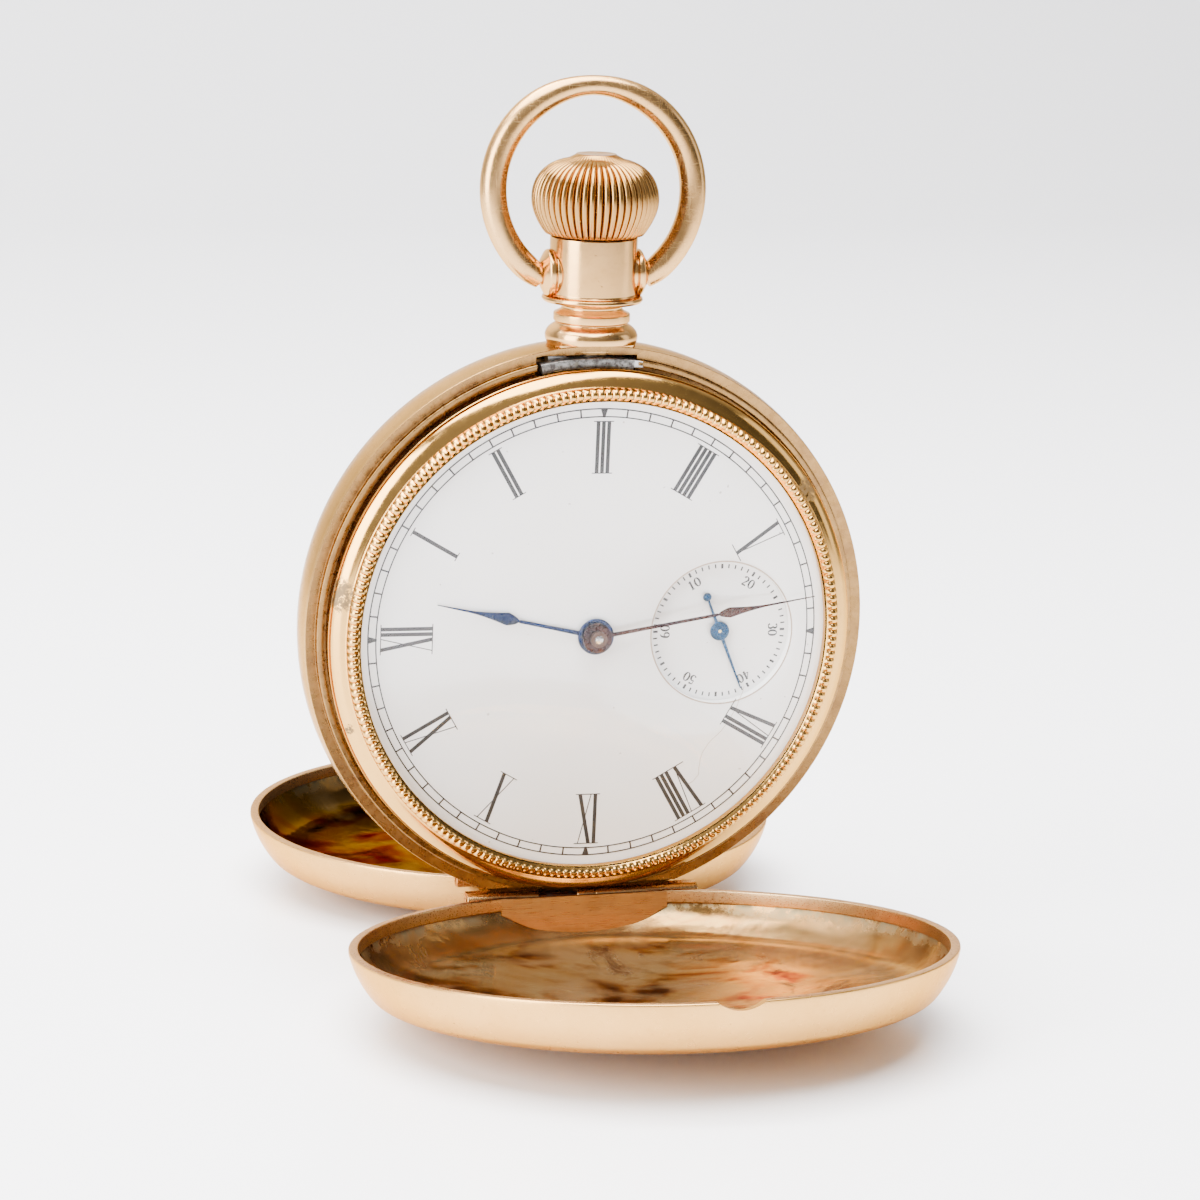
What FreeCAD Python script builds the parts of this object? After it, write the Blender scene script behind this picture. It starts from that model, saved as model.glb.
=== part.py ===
import FreeCAD, Part
import Sketcher
import math
import os

# Hunter-cased pocket watch standing on its two open lids.
# Watch frame used for every part before it is stood up: X right, Y toward the pendant,
# Z out of the dial toward the reader. The dial's front face is z = 0, the works are at z < 0.

os.makedirs("parts", exist_ok=True)
Vec = FreeCAD.Vector
Turn = FreeCAD.Rotation
Place = FreeCAD.Placement
X_AXIS = Vec(1, 0, 0)
Y_AXIS = Vec(0, 1, 0)
Z_AXIS = Vec(0, 0, 1)
ORIGIN = Vec(0, 0, 0)

doc = FreeCAD.newDocument("hunter_watch")
sheet = doc.addObject("Spreadsheet::Sheet", "Dims")

# Driving dimensions in millimetres, degrees or tooth counts, grouped by part.
DIMS = {
    # stance on the table
    "lean": 5.142, "dome_drop": 31.382, "stand_back": -6.633,
    # case centre ring
    "case_rim": 26.95, "band_mid": 27.22, "band_cut_low": -9.0, "band_bulge": 12.0,
    "case_front": -2.3, "case_rear": -7.0,
    "seat_rim": 25.95, "seat_front": -2.5, "seat_rear": -6.8,
    "ridge_out": 25.9, "ridge_in": 25.3, "ridge_front": -2.0, "ridge_rear": -7.5,
    "groove_floor": -3.0, "collar_out": 24.9, "collar_in": 23.9, "collar_front": -1.0,
    "bore": 22.3, "ledge_in": 21.2, "ledge_front": -3.05, "ledge_rear": -3.9,
    "hollow_out": 26.2, "hollow_rear": -5.9, "back_bore": 22.6, "back_seat": -6.6,
    "back_seat_out": 24.9, "beyond_rim": 28.0, "behind_case": -8.0, "knuckle_slack": 0.15,
    "recess_depth": 0.85, "front_recess_in": -25.25, "rear_recess_in": -24.8,
    "cover_recess_half": 5.2, "cover_recess_out": -25.0, "cover_recess_in": -23.1,
    "cover_recess_front": -6.7,
    # lock spring with its catch, and lift spring
    "catch_half": 4.35, "catch_in": 24.95, "catch_out": 25.85, "catch_low": -3.5,
    "catch_slot_half": 4.7, "catch_slot_in": 23.85, "catch_slot_out": 26.05,
    "catch_slot_floor": -3.95, "leg_in": 25.0, "leg_out": 25.8, "leg_side": -2.6,
    "leg_low": -5.0, "leg_high": -3.4, "strip_out": 25.7, "strip_in": 25.2, "strip_low": -5.6,
    "strip_high": -4.1, "strip_overrun": 0.1, "lock_start": 97.0, "lock_sweep": 66.0,
    "lift_start": 196.0, "lift_sweep": 60.0,
    # pendant, crown and bow
    "stem_z": -4.65, "stem_hole": 1.3, "pendant_bore": 1.6,
    "bulb_foot": 25.6, "bulb_waist": 4.0, "bulb_mid": 26.9, "bulb_wide": 4.25, "bulb_top": 28.2,
    "bulb_neck": 3.3, "bead_low": 28.5, "bead_wide": 3.57, "bead_top": 29.3, "neck": 2.8,
    "neck_low": 29.5, "neck_top": 30.2, "flange": 4.72, "flange_low": 30.4, "flange_top": 31.0,
    "tube": 4.05, "tube_top": 36.2,
    "ear_height": 33.4, "ear_radius": 2.2, "ear_reach": 4.9, "ear_socket": 0.85,
    "bow_centre": 41.0, "bow_radius": 9.5, "bow_wire": 1.2, "bow_end_angle": 53.0,
    "bow_pin": 0.8, "bow_pin_in": 4.3, "bow_pin_long": 2.6, "bow_back_lean": 5.0,
    "crown_low": 36.5, "crown_foot": 4.75, "crown_cup": 4.25, "crown_cup_top": 38.2,
    "crown_waist": 5.9, "crown_mid": 40.2, "crown_bore_depth": 1.2,
    "crown_shoulder": 4.9, "crown_shoulder_y": 43.3, "crown_top": 44.4, "crown_flat": 1.9,
    "crown_flutes": 48, "flute_depth": 0.28,
    "stem_round": 0.9, "stem_tip": 19.6, "stem_square_top": 22.5, "stem_square_half": 0.4,
    # winding arbor and its wheels
    "arbor_in": 11.7, "arbor_thin": 0.6, "arbor_step": 17.6, "arbor_socket": 0.9,
    "arbor_out": 21.6, "socket_floor": 18.4, "socket_half": 0.45,
    "pinion_low": 14.55, "pinion_high": 15.35, "winding_teeth": 16, "winding_module": 0.3,
    "castle_low": 12.5, "castle_high": 14.1, "castle_radius": 0.95,
    "crown_wheel_y": 10.8, "crown_wheel_teeth": 28, "crown_wheel_bore": 0.9, "ratchet_teeth": 44,
    "hub_radius": 0.85, "hub_cap": 1.5, "hub_post": 0.5, "hub_cap_low": -7.9, "hub_low": -7.5,
    "hub_high": -6.75, "hub_post_top": -6.3,
    "wheel_top": -7.0, "wheel_under": -7.45,
    # lids
    "lid_rim": 26.93, "lid_land": 0.85, "lid_wall": 24.9, "lid_wall_depth": 4.2,
    "lid_depth": 7.3, "lid_skin": 0.55, "lid_bulge": 9.0, "rear_depth": 7.3,
    "front_plane": -2.2, "rear_plane": -7.1,
    "front_open": 80.94, "rear_open": 92.76,
    "front_hinge_y": -26.19, "front_hinge_z": -1.94,
    "rear_hinge_y": -25.7, "rear_hinge_z": -7.0,
    "hinge_tube": 0.72, "hinge_pin": 0.36, "hinge_bore": 0.4,
    "hinge_left": -11.25, "hinge_left_end": -4.3, "lid_knuckle": -3.1, "lid_knuckle_end": 1.2,
    "hinge_right_start": 1.3, "hinge_right": 11.45,
    "nail_nick": 3.2, "nick_at": 24.0, "nick_drop": 2.2, "lid_notch_slack": 0.5, "rim_overrun": 0.2,
    "inner_wall_step": 0.25, "leaf_out": 0.72, "leaf_in": 0.12, "leaf_foot_in": -24.5,
    "leaf_lap": 0.1, "root_out": 0.6,
    "root_depth": 0.95, "front_root_reach": 0.65, "rear_root_reach": 0.95,
    "plate_half": 8.2, "front_plate_out": -25.37, "front_plate_in": -24.78,
    "front_plate_start": 0.05, "front_plate_end": 2.85, "front_leaf_end": 1.3,
    "front_notch_in": -25.42, "front_notch_end": 1.2,
    "rear_plate_out": -24.75, "rear_plate_in": -24.2, "rear_plate_start": 1.9,
    "rear_plate_end": 4.9, "rear_leaf_end": 2.4, "rear_notch_in": -23.5, "rear_notch_end": 2.1,
    "gap_half": 8.75, "gap_in": -24.65, "gap_floor": -2.27, "bezel_gap_in": -24.68,
    # dust cover inside the rear lid
    "cover_rim": 24.7, "cover_front": -6.65, "cover_step": -7.9, "cover_shoulder": 23.4,
    "cover_shoulder_z": -8.7, "cover_apex": -9.8, "cover_skin": 0.4,
    "cover_hinge_y": -24.55, "cover_hinge_z": -7.5, "cover_tube": 0.5, "cover_tube_half": 2.0,
    "cover_bore": 0.27, "cover_pin": 0.24, "cover_pin_half": 5.2, "cover_inner_step": 0.2,
    "cover_inner_rise": 0.15,
    # bezel and glass
    "bezel_skirt": 23.8, "bezel_bore": 23.0, "bezel_foot": -2.9, "bezel_rim": 25.1,
    "bezel_seat": -0.9, "bezel_edge": -0.5, "bezel_slope_r": 23.55, "bezel_slope_z": 0.5,
    "bead_mid_r": 23.1, "bead_mid_z": 1.35, "bezel_eye": 22.45, "bezel_eye_z": 1.4,
    "bezel_lip": 22.25, "bezel_lip_z": 0.1, "bezel_flat_low": -1.2, "bezel_flat_high": 0.6,
    "eye_lead": 0.3, "eye_rise": 0.35, "lip_drop": 0.1,
    "glass_rim": 22.4, "glass_low": 0.9, "glass_apex": 3.4, "glass_thick": 0.7, "glass_edge": 0.3,
    "glass_land": 0.8,
    # dial
    "dial_rim": 22.8, "dial_back": -0.9, "dial_hole": 1.35, "seconds_x": 12.34, "seconds_y": -0.15,
    "seconds_sink": 6.8, "seconds_rim": 7.3, "seconds_back": -1.2, "seconds_hole": 0.4,
    "foot_radius": 0.5, "foot_ring": 19.2, "foot_end": -2.6,
    # hands
    "hour_low": 0.3, "hour_high": 0.45, "minute_low": 0.75, "minute_high": 0.9,
    "sweep_low": -0.72, "sweep_high": -0.55,
    "hour_angle": 167.0, "minute_angle": 8.9, "sweep_angle": -68.0,
    "hour_long": 15.4, "minute_long": 21.4, "sweep_long": 6.1, "sweep_tail": 3.6,
    "hour_boss": 1.75, "minute_boss": 1.55, "sweep_boss": 0.9,
    "hour_hub": 1.15, "cannon_tube": 0.75, "minute_post_top": 1.75,
    "root_half": 0.32, "neck_half": 0.2, "tip_half": 0.06, "tail_half": 0.15, "tail_ball": 0.45,
    # plates
    "plate_rim": 22.0, "plate_front": -1.35, "plate_back": -3.0, "motion_recess": 8.7,
    "motion_floor": -2.6, "top_rim": 20.6, "top_front": -6.2, "top_back": -7.6,
    "sunk_floor": -6.75, "pillar": 1.1, "screw_head": 1.0, "screw_head_high": 0.35,
    "screw_body": 0.45, "screw_hole": 0.5, "slot_wide": 0.22, "slot_deep": 0.15,
    "stem_block_half": 2.2, "stem_block_in": 16.4, "stem_block_long": 3.0, "stem_block_low": -5.95,
    "stem_block_high": 2.95, "wind_gap_half": 3.0, "wind_gap_in": 14.05, "wind_gap_long": 1.8,
    "wind_gap_low": -3.9, "wind_gap_high": 2.0, "path_slack": 0.05, "thin_path_start": 12.0,
    "fat_path_start": 17.4, "path_long": 12.0, "barrel_bearing": 0.55, "blind_bore": 0.3,
    "blind_deep": 0.8, "foot_hole_deep": 0.3, "case_screw_hole": 0.45, "case_screw_deep": 0.9,
    "case_screw_head": 1.35, "case_screw_head_high": 0.5, "case_screw_body": 0.42,
    "case_screw_long": 1.55, "minute_post": 0.35, "minute_post_high": 1.55,
    "top_gap_wide": 24.0, "top_gap_long": 14.0, "cock_gap": 2.7, "cock_gap_long": 5.0,
    "stem_relief_long": 9.0, "crown_wheel_recess": 4.75, "ratchet_recess": 7.0,
    "behind_works": -8.5, "click_hole_deep": 1.5,
    # train
    "barrel_distance": 10.8, "barrel_angle": 150.0, "barrel_teeth": 80, "centre_leaves": 10,
    "centre_teeth": 80, "third_leaves": 10, "third_teeth": 75, "fourth_leaves": 10,
    "fourth_teeth": 80, "escape_leaves": 8, "escape_teeth": 15,
    "centre_module": 0.2, "third_module": 0.16, "fourth_module": 0.14,
    "cannon_leaves": 12, "minute_teeth": 36, "minute_leaves": 10, "hour_teeth": 40,
    "motion_distance": 4.8, "minute_wheel_angle": 108.0,
    "escape_radius": 3.6, "escape_angle": -115.0,
    "arbor": 0.35, "centre_arbor": 0.42, "pivot": 0.14, "jewel": 0.7, "jewel_thick": 0.4,
    "pivot_slack": 0.03, "end_shake": 0.1, "pivot_long": 0.3, "crossing_rim": 1.0,
    "crossing_hub": 1.1, "crossing_arm": 0.7, "crossing_arms": 5,
    "centre_web_low": -3.5, "centre_web_high": -3.2, "centre_hub": 1.7, "centre_arm": 0.9,
    "centre_pinion_low": -4.9, "centre_pinion_high": -3.72, "centre_pinion_turn": 3.0,
    "centre_top": 1.6, "third_web_low": -5.0, "third_web_high": -4.7, "third_pinion_low": -3.9,
    "third_pinion_high": -3.12, "fourth_web_low": -4.2, "fourth_web_high": -3.92,
    "fourth_pinion_low": -5.2, "fourth_pinion_high": -4.5, "seconds_post_top": -0.5,
    "escape_web_low": -5.03, "escape_web_high": -4.73, "escape_pinion_low": -4.4,
    "escape_pinion_high": -3.8, "escape_tooth": 0.9, "escape_rim": 2.4, "escape_rim_in": 2.1,
    "escape_hub": 0.7, "escape_arm": 0.45, "escape_arbor": 0.3,
    "cannon_low": -2.4, "cannon_teeth_top": -1.75, "minute_web_low": -2.15,
    "minute_web_high": -1.9, "minute_pinion_top": -1.12, "minute_bore": 0.4,
    "hour_web_low": -1.42, "hour_web_high": -1.18, "hour_pipe_top": 0.7, "hour_slack": 0.06,
    "barrel_drum": 9.0, "barrel_front": -3.8, "barrel_tooth_back": -4.5, "barrel_back": -6.0,
    "barrel_wall": 0.45, "barrel_core": 1.6, "barrel_floor": -5.65, "barrel_depth": 1.5,
    "barrel_bore": 0.75, "barrel_shaft": 0.7, "barrel_square": 0.5, "core_low": -5.6,
    "core_high": -4.2, "coil_start": 2.3, "coil_grow": 5.6, "coil_thick": 0.28, "coil_turns": 9,
    "coil_low": -5.45, "coil_high": 1.1,
    "click_x": -5.6, "click_y": -6.2, "click_low": -8.15, "click_thick": 0.5, "click_hub": 0.75,
    "click_bore": 0.35, "click_heel": 0.7, "click_beak": 1.35, "click_post": 0.3,
    "click_head": 0.65, "click_head_low": -8.5, "click_head_high": -8.2, "click_post_top": -7.65,
    # escapement
    "balance_x": 1.0, "balance_y": -11.2, "balance_radius": 8.0, "balance_rim": 0.7,
    "balance_front": -5.7, "balance_back": -6.5, "fork_gap": 4.3,
    "roller": 1.6, "roller_front": -5.2, "roller_back": -5.45, "cut_radius": 8.9,
    "fork_low": -5.02, "fork_thick": 0.28, "fork_hub": 0.5, "fork_arbor": 0.22,
    "fork_pivot": 0.12, "fork_top": -3.2, "fork_pivot_low": -5.35, "fork_pivot_top": -2.85,
    "pallet_reach": 2.3, "stone_long": 0.42, "stone_wide": 0.34, "stone_at": 2.05,
    "stone_back": 0.52, "bridge_low": -5.48, "bridge_thick": 0.28, "bridge_wide": 1.6,
    "bridge_end": -1.0, "bridge_long": 5.2, "bridge_foot": 0.8, "bridge_foot_at": 3.4,
    "bridge_bore": 0.18,
    "rim_inset": 0.45, "balance_hub": 1.1, "balance_arm": 1.0, "staff": 0.4, "staff_low": -6.95,
    "staff_top": -4.9, "staff_pivot": 0.11, "staff_pivot_low": -7.5, "staff_pivot_top": -2.6,
    "timing_screws": 14, "timing_radius": 0.28, "timing_long": 0.6, "timing_inset": 0.55,
    "timing_z": -6.1, "timing_turn": 8.0, "impulse_at": 1.05, "impulse_radius": 0.14,
    "impulse_high": 0.3, "hair_start": 0.75, "hair_grow": 3.6, "hair_thick": 0.08,
    "hair_turns": 8, "hair_low": -6.85, "hair_high": 0.2,
    "cock_low": -8.1, "cock_thick": 0.9, "cock_end": 1.9, "cock_foot": 2.4, "cock_post": 2.3,
    "cap_radius": 0.6, "cap_deep": 0.5, "cap_thick": 0.4,
    "cock_pivot_hole": 0.16, "cock_screw_long": 1.0,
    "pointer_ring": 1.5, "pointer_bore": 0.75, "pointer_long": 5.4, "pointer_low": -8.32,
    "pointer_thick": 0.2,
}

row = 1
for alias, number in DIMS.items():
    sheet.set("A%d" % row, alias)
    sheet.set("B%d" % row, str(number))
    sheet.setAlias("B%d" % row, alias)
    row += 1
doc.recompute()


def num(text):
    """The value of a sum or difference of sheet names and plain numbers."""
    total = 0.0
    sign = 1.0
    for word in str(text).split():
        if word == "+":
            sign = 1.0
        elif word == "-":
            sign = -1.0
        else:
            total += sign * (float(DIMS[word]) if word in DIMS else float(word))
            sign = 1.0
    return total


def rule(text):
    """The same sum written as an expression on the sheet."""
    words = ["Dims." + word if word in DIMS else word for word in str(text).split()]
    return " ".join(words)


def bind(item, prop, text):
    item.setExpression(prop, rule(text))


# The watch leans forward over its open front lid; z = 0 is the table.
STAND = Place(Vec(0, num("stand_back"), num("dome_drop")), Turn(X_AXIS, 90.0 + num("lean")))


def lifted(local=None):
    return STAND.multiply(local) if local else STAND


def outline(body, name, plane, points, offset="0"):
    """A closed sketch through points; each point is (across, up) or (across, up, arc).

    arc describes the segment that ends at the point: "dome" has its centre on the
    vertical axis, any other name is a radius from the sheet, bulging away from the origin.
    """
    sketch = body.newObject("Sketcher::SketchObject", name)
    base = [f for f in body.Origin.OriginFeatures if f.Role == plane][0]
    sketch.AttachmentSupport = [(base, "")]
    sketch.MapMode = "FlatFace"
    if offset != "0":
        sketch.AttachmentOffset = Place(Vec(0, 0, num(offset)), Turn())
        sketch.setExpression("AttachmentOffset.Base.z", rule(offset))
    spots = [Vec(num(p[0]), num(p[1]), 0) for p in points]
    heads = []
    tails = []
    for i in range(len(points)):
        here = spots[i - 1]
        there = spots[i]
        style = points[i][2] if len(points[i]) > 2 else "line"
        if style == "line":
            sketch.addGeometry(Part.LineSegment(here, there), False)
            heads.append(1)
            tails.append(2)
            continue
        middle = arc_centre(here, there, style)
        start = math.atan2(here.y - middle.y, here.x - middle.x)
        stop = math.atan2(there.y - middle.y, there.x - middle.x)
        turned = (stop - start) % (2 * math.pi)
        ring = Part.Circle(middle, Z_AXIS, (here - middle).Length)
        if turned < math.pi:
            sketch.addGeometry(Part.ArcOfCircle(ring, start, start + turned), False)
            heads.append(1)
            tails.append(2)
        else:
            sketch.addGeometry(Part.ArcOfCircle(ring, stop, stop + 2 * math.pi - turned), False)
            heads.append(2)
            tails.append(1)
    total = len(points)
    for i in range(total):
        after = (i + 1) % total
        sketch.addConstraint(Sketcher.Constraint("Coincident", i, tails[i], after, heads[after]))
    for i in range(total):
        for kind, axis, text in (("DistanceX", -2, points[i][0]), ("DistanceY", -1, points[i][1])):
            if abs(num(text)) < 1e-9:
                sketch.addConstraint(Sketcher.Constraint("PointOnObject", i, tails[i], axis))
                continue
            fix = Sketcher.Constraint(kind, -1, 1, i, tails[i], num(text))
            index = sketch.addConstraint(fix)
            if any(word in DIMS for word in str(text).split()):
                sketch.setExpression("Constraints[%d]" % index, rule(text))
        style = points[i][2] if len(points[i]) > 2 else "line"
        if style == "dome":
            sketch.addConstraint(Sketcher.Constraint("PointOnObject", i, 3, -2))
        elif style != "line":
            index = sketch.addConstraint(Sketcher.Constraint("Radius", i, num(style)))
            sketch.setExpression("Constraints[%d]" % index, rule(style))
    return sketch


def arc_centre(here, there, style):
    """Centre of the arc from here to there for a dome or for a named radius."""
    if style == "dome":
        gap = there.y - here.y
        height = (there.x ** 2 - here.x ** 2 + there.y ** 2 - here.y ** 2) / (2 * gap)
        return Vec(0, height, 0)
    radius = num(style)
    chord = there - here
    middle = (here + there) * 0.5
    side = Vec(-chord.y, chord.x, 0).normalize()
    if side.dot(middle) > 0:
        side = side * -1
    return middle + side * math.sqrt(radius ** 2 - (chord.Length / 2) ** 2)


def new_body(node, local=None):
    body = doc.addObject("PartDesign::Body", node)
    body.Label = node
    body.Placement = lifted(local)
    return body


def turned(node, points, local=None):
    """A part turned about its own Z axis from an outline of (radius, height) points."""
    body = new_body(node, local)
    sketch = outline(body, node + "_section", "XZ_Plane", points)
    spin = body.newObject("PartDesign::Revolution", node + "_turned")
    spin.Profile = sketch
    spin.ReferenceAxis = (sketch, ["V_Axis"])
    spin.Angle = 360.0
    sketch.Visibility = False
    return body


# Part primitives. Each is placed in the watch frame and returned for booleans.
def disc(name, radius, low, high, x="0", y="0", turn=None, angle=None):
    item = doc.addObject("Part::Cylinder", name)
    bind(item, "Radius", radius)
    item.setExpression("Height", "(%s) - (%s)" % (rule(high), rule(low)))
    if angle:
        item.Angle = angle
    spot = Place(Vec(num(x), num(y), num(low)), turn or Turn())
    item.Placement = lifted(spot)
    return item


def rod(name, radius, spot, turn, length):
    """A cylinder from a point, along the direction that turn gives to Z."""
    item = doc.addObject("Part::Cylinder", name)
    bind(item, "Radius", radius)
    item.setExpression("Height", rule(length))
    item.Placement = lifted(Place(spot, turn))
    return item


def block(name, low, high, turn=None):
    """A box between two corners given as sheet sums, turned about the watch centre."""
    item = doc.addObject("Part::Box", name)
    for prop, a, b in zip(("Length", "Width", "Height"), low, high):
        item.setExpression(prop, "(%s) - (%s)" % (rule(b), rule(a)))
    corner = Place(Vec(num(low[0]), num(low[1]), num(low[2])), Turn())
    if turn:
        corner = Place(ORIGIN, turn).multiply(corner)
    item.Placement = lifted(corner)
    return item


def joined(node, items):
    whole = doc.addObject("Part::MultiFuse", node)
    whole.Shapes = items
    whole.Label = node
    return whole


def cut(node, base, tool):
    whole = doc.addObject("Part::Cut", node)
    whole.Base = base
    whole.Tool = tool
    whole.Label = node
    return whole


def shaped(node, shape):
    """A part whose outline is computed, such as a toothed wheel; its sizes are sheet values."""
    item = doc.addObject("Part::Feature", node)
    drawn_at = shape.Placement
    item.Shape = shape
    item.Label = node
    item.Placement = lifted(drawn_at)
    return item


ALONG_Y = Turn(X_AXIS, -90)
ALONG_X = Turn(Y_AXIS, 90)

TOOTH_SHARE = 0.36
TIP_SHARE = 0.16
ROOT_SHARE = 0.46
TIP_RISE = 0.8
ROOT_DROP = 1.15


def wheel_outline(teeth, module, phase):
    """Points of a toothed rim: straight-sided teeth with running clearance."""
    pitch = module * teeth / 2.0
    step = 2 * math.pi / teeth
    corners = ((-ROOT_SHARE, -ROOT_DROP), (-TOOTH_SHARE, 0), (-TIP_SHARE, TIP_RISE),
               (TIP_SHARE, TIP_RISE), (TOOTH_SHARE, 0), (ROOT_SHARE, -ROOT_DROP))
    points = []
    for tooth in range(int(teeth)):
        for share, rise in corners:
            angle = phase + (tooth + share / 2) * step
            radius = pitch + rise * module
            points.append(Vec(radius * math.cos(angle), radius * math.sin(angle), 0))
    return points + points[:1]


def toothed(teeth, module, phase, low, high, hole=0.0):
    face = Part.Face(Part.makePolygon(wheel_outline(teeth, module, phase)))
    solid = face.extrude(Vec(0, 0, high - low))
    solid.translate(Vec(0, 0, low))
    if hole:
        solid = solid.cut(Part.makeCylinder(hole, high - low, Vec(0, 0, low)))
    return solid


def meshed_phase(from_phase, from_teeth, direction, teeth):
    """Phase of a wheel that meshes with another, which lies along direction from it."""
    step = 2 * math.pi / from_teeth
    off = (from_phase - direction + step / 2) % step - step / 2
    return direction + math.pi - off * from_teeth / teeth + math.pi / teeth


def shaft(radius, low, high):
    return Part.makeCylinder(radius, high - low, Vec(0, 0, low))


def fused(shapes, x=0.0, y=0.0):
    whole = shapes[0].multiFuse(shapes[1:]) if len(shapes) > 1 else shapes[0]
    whole = whole.removeSplitter()
    whole.translate(Vec(x, y, 0))
    return whole


def spoked(rim_radius, inner_radius, hub_radius, low, high, arms, arm_width):
    """A crossed-out web: openings between arms, cut from a wheel blank."""
    openings = []
    ring = Part.makeCylinder(inner_radius, high - low, Vec(0, 0, low))
    ring = ring.cut(Part.makeCylinder(hub_radius, high - low, Vec(0, 0, low)))
    for k in range(arms):
        bar = Part.makeBox(rim_radius, arm_width, high - low, Vec(0, -arm_width / 2, low))
        bar.rotate(ORIGIN, Z_AXIS, k * 360.0 / arms)
        openings.append(bar)
    return ring.cut(openings[0].multiFuse(openings[1:]))


# ------------------------------------------------------------------ case
body = turned("case_ring_blank", [
    ("case_rim", "case_rear"), ("case_rim", "case_front", "band_bulge"),
    ("seat_rim", "seat_front"), ("ridge_out", "ridge_front"), ("ridge_in", "ridge_front"),
    ("ridge_in", "groove_floor"), ("collar_out", "groove_floor"), ("collar_out", "collar_front"),
    ("collar_in", "collar_front"), ("collar_in", "groove_floor"), ("bore", "groove_floor"),
    ("bore", "ledge_front"), ("ledge_in", "ledge_front"), ("ledge_in", "ledge_rear"),
    ("hollow_out", "ledge_rear"), ("hollow_out", "hollow_rear"), ("back_bore", "hollow_rear"),
    ("back_bore", "back_seat"), ("back_seat_out", "back_seat"), ("back_seat_out", "seat_rear"),
    ("ridge_in", "seat_rear"), ("ridge_in", "ridge_rear"), ("ridge_out", "ridge_rear"),
    ("seat_rim", "seat_rear")])
stem_way = rod("stem_way", "stem_hole", Vec(0, 0, num("stem_z")), ALONG_Y, "beyond_rim")
catch_slot = block("catch_slot", ("0 - catch_slot_half", "catch_slot_in", "catch_slot_floor"),
                   ("catch_slot_half", "catch_slot_out", "0"))
front_notch = block("front_notch",
                    ("hinge_left - knuckle_slack", "0 - beyond_rim", "front_hinge_z - recess_depth"),
                    ("hinge_right + knuckle_slack", "front_recess_in", "0"))
rear_notch = block("rear_notch", ("hinge_left - knuckle_slack", "0 - beyond_rim", "behind_case"),
                   ("hinge_right + knuckle_slack", "rear_recess_in", "rear_hinge_z + recess_depth"))
cover_notch = block("cover_notch", ("0 - cover_recess_half", "cover_recess_out", "behind_case"),
                    ("cover_recess_half", "cover_recess_in", "cover_recess_front"))
plate_gap = block("plate_gap", ("0 - gap_half", "0 - beyond_rim", "gap_floor"), ("gap_half", "gap_in", "0"))
slots = joined("case_slots", [stem_way, catch_slot, front_notch, rear_notch, cover_notch, plate_gap])
ring = cut("case_ring", body, slots)
knuckles = []
for side, y, z in (("front", "front_hinge_y", "front_hinge_z"), ("rear", "rear_hinge_y", "rear_hinge_z")):
    for name, left, right in (("left", "hinge_left", "hinge_left_end"),
                              ("right", "hinge_right_start", "hinge_right")):
        spot = Vec(num(left), num(y), num(z))
        label = "%s_%s_knuckle" % (side, name)
        knuckles.append(rod(label, "hinge_tube", spot, ALONG_X, "%s - %s" % (right, left)))
        if side == "front":
            corners = ((left, y + " - root_out", z + " - root_depth"), (right, y + " + front_root_reach", z))
        else:
            corners = ((left, y, z), (right, y + " + rear_root_reach", z + " + root_depth"))
        knuckles.append(block(label + "_root", corners[0], corners[1]))
with_knuckles = joined("case_with_knuckles", [ring] + knuckles)
bores = [rod(side + "_pin_bore", "hinge_bore", Vec(-num("beyond_rim"), num(y), num(z)), ALONG_X,
             "beyond_rim + beyond_rim")
         for side, y, z in (("front", "front_hinge_y", "front_hinge_z"),
                            ("rear", "rear_hinge_y", "rear_hinge_z"))]
case_centre = cut("case_centre", with_knuckles, joined("pin_bores", bores))

for side in ("front", "rear"):
    spot = Vec(num("hinge_left + leaf_lap"), num(side + "_hinge_y"), num(side + "_hinge_z"))
    pin = rod(side + "_hinge_pin", "hinge_pin", spot, ALONG_X,
              "hinge_right - hinge_left - leaf_lap - leaf_lap")
    pin.Label = side + "_hinge_pin"

# Pendant: turned about the stem axis, with two ears for the bow.
stem_line = Place(Vec(0, 0, num("stem_z")), ALONG_Y)
pendant_body = turned("pendant_turning", [
    ("pendant_bore", "bulb_foot"), ("bulb_waist", "bulb_foot"), ("bulb_wide", "bulb_mid"),
    ("bulb_neck", "bulb_top"), ("bead_wide", "bead_low"), ("bead_wide", "bead_top"),
    ("neck", "neck_low"), ("neck", "neck_top"), ("flange", "flange_low"),
    ("flange", "flange_top"), ("tube", "flange_top"), ("tube", "tube_top"),
    ("pendant_bore", "tube_top")], stem_line)
ears = rod("pendant_ears", "ear_radius", Vec(-num("ear_reach"), num("ear_height"), num("stem_z")),
           ALONG_X, "ear_reach + ear_reach")
with_ears = joined("pendant_with_ears", [pendant_body, ears])
ear_sockets = rod("ear_sockets", "ear_socket", Vec(-num("crown_waist"), num("ear_height"), num("stem_z")),
                  ALONG_X, "crown_waist + crown_waist")
bore_again = rod("pendant_way", "pendant_bore", Vec(0, 0, num("stem_z")), ALONG_Y, "crown_low")
band_away = disc("band_away", "band_mid", "band_cut_low", "0")
pendant_cut = joined("pendant_cuts", [ear_sockets, bore_again, band_away])
cut("pendant", with_ears, pendant_cut)

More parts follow.
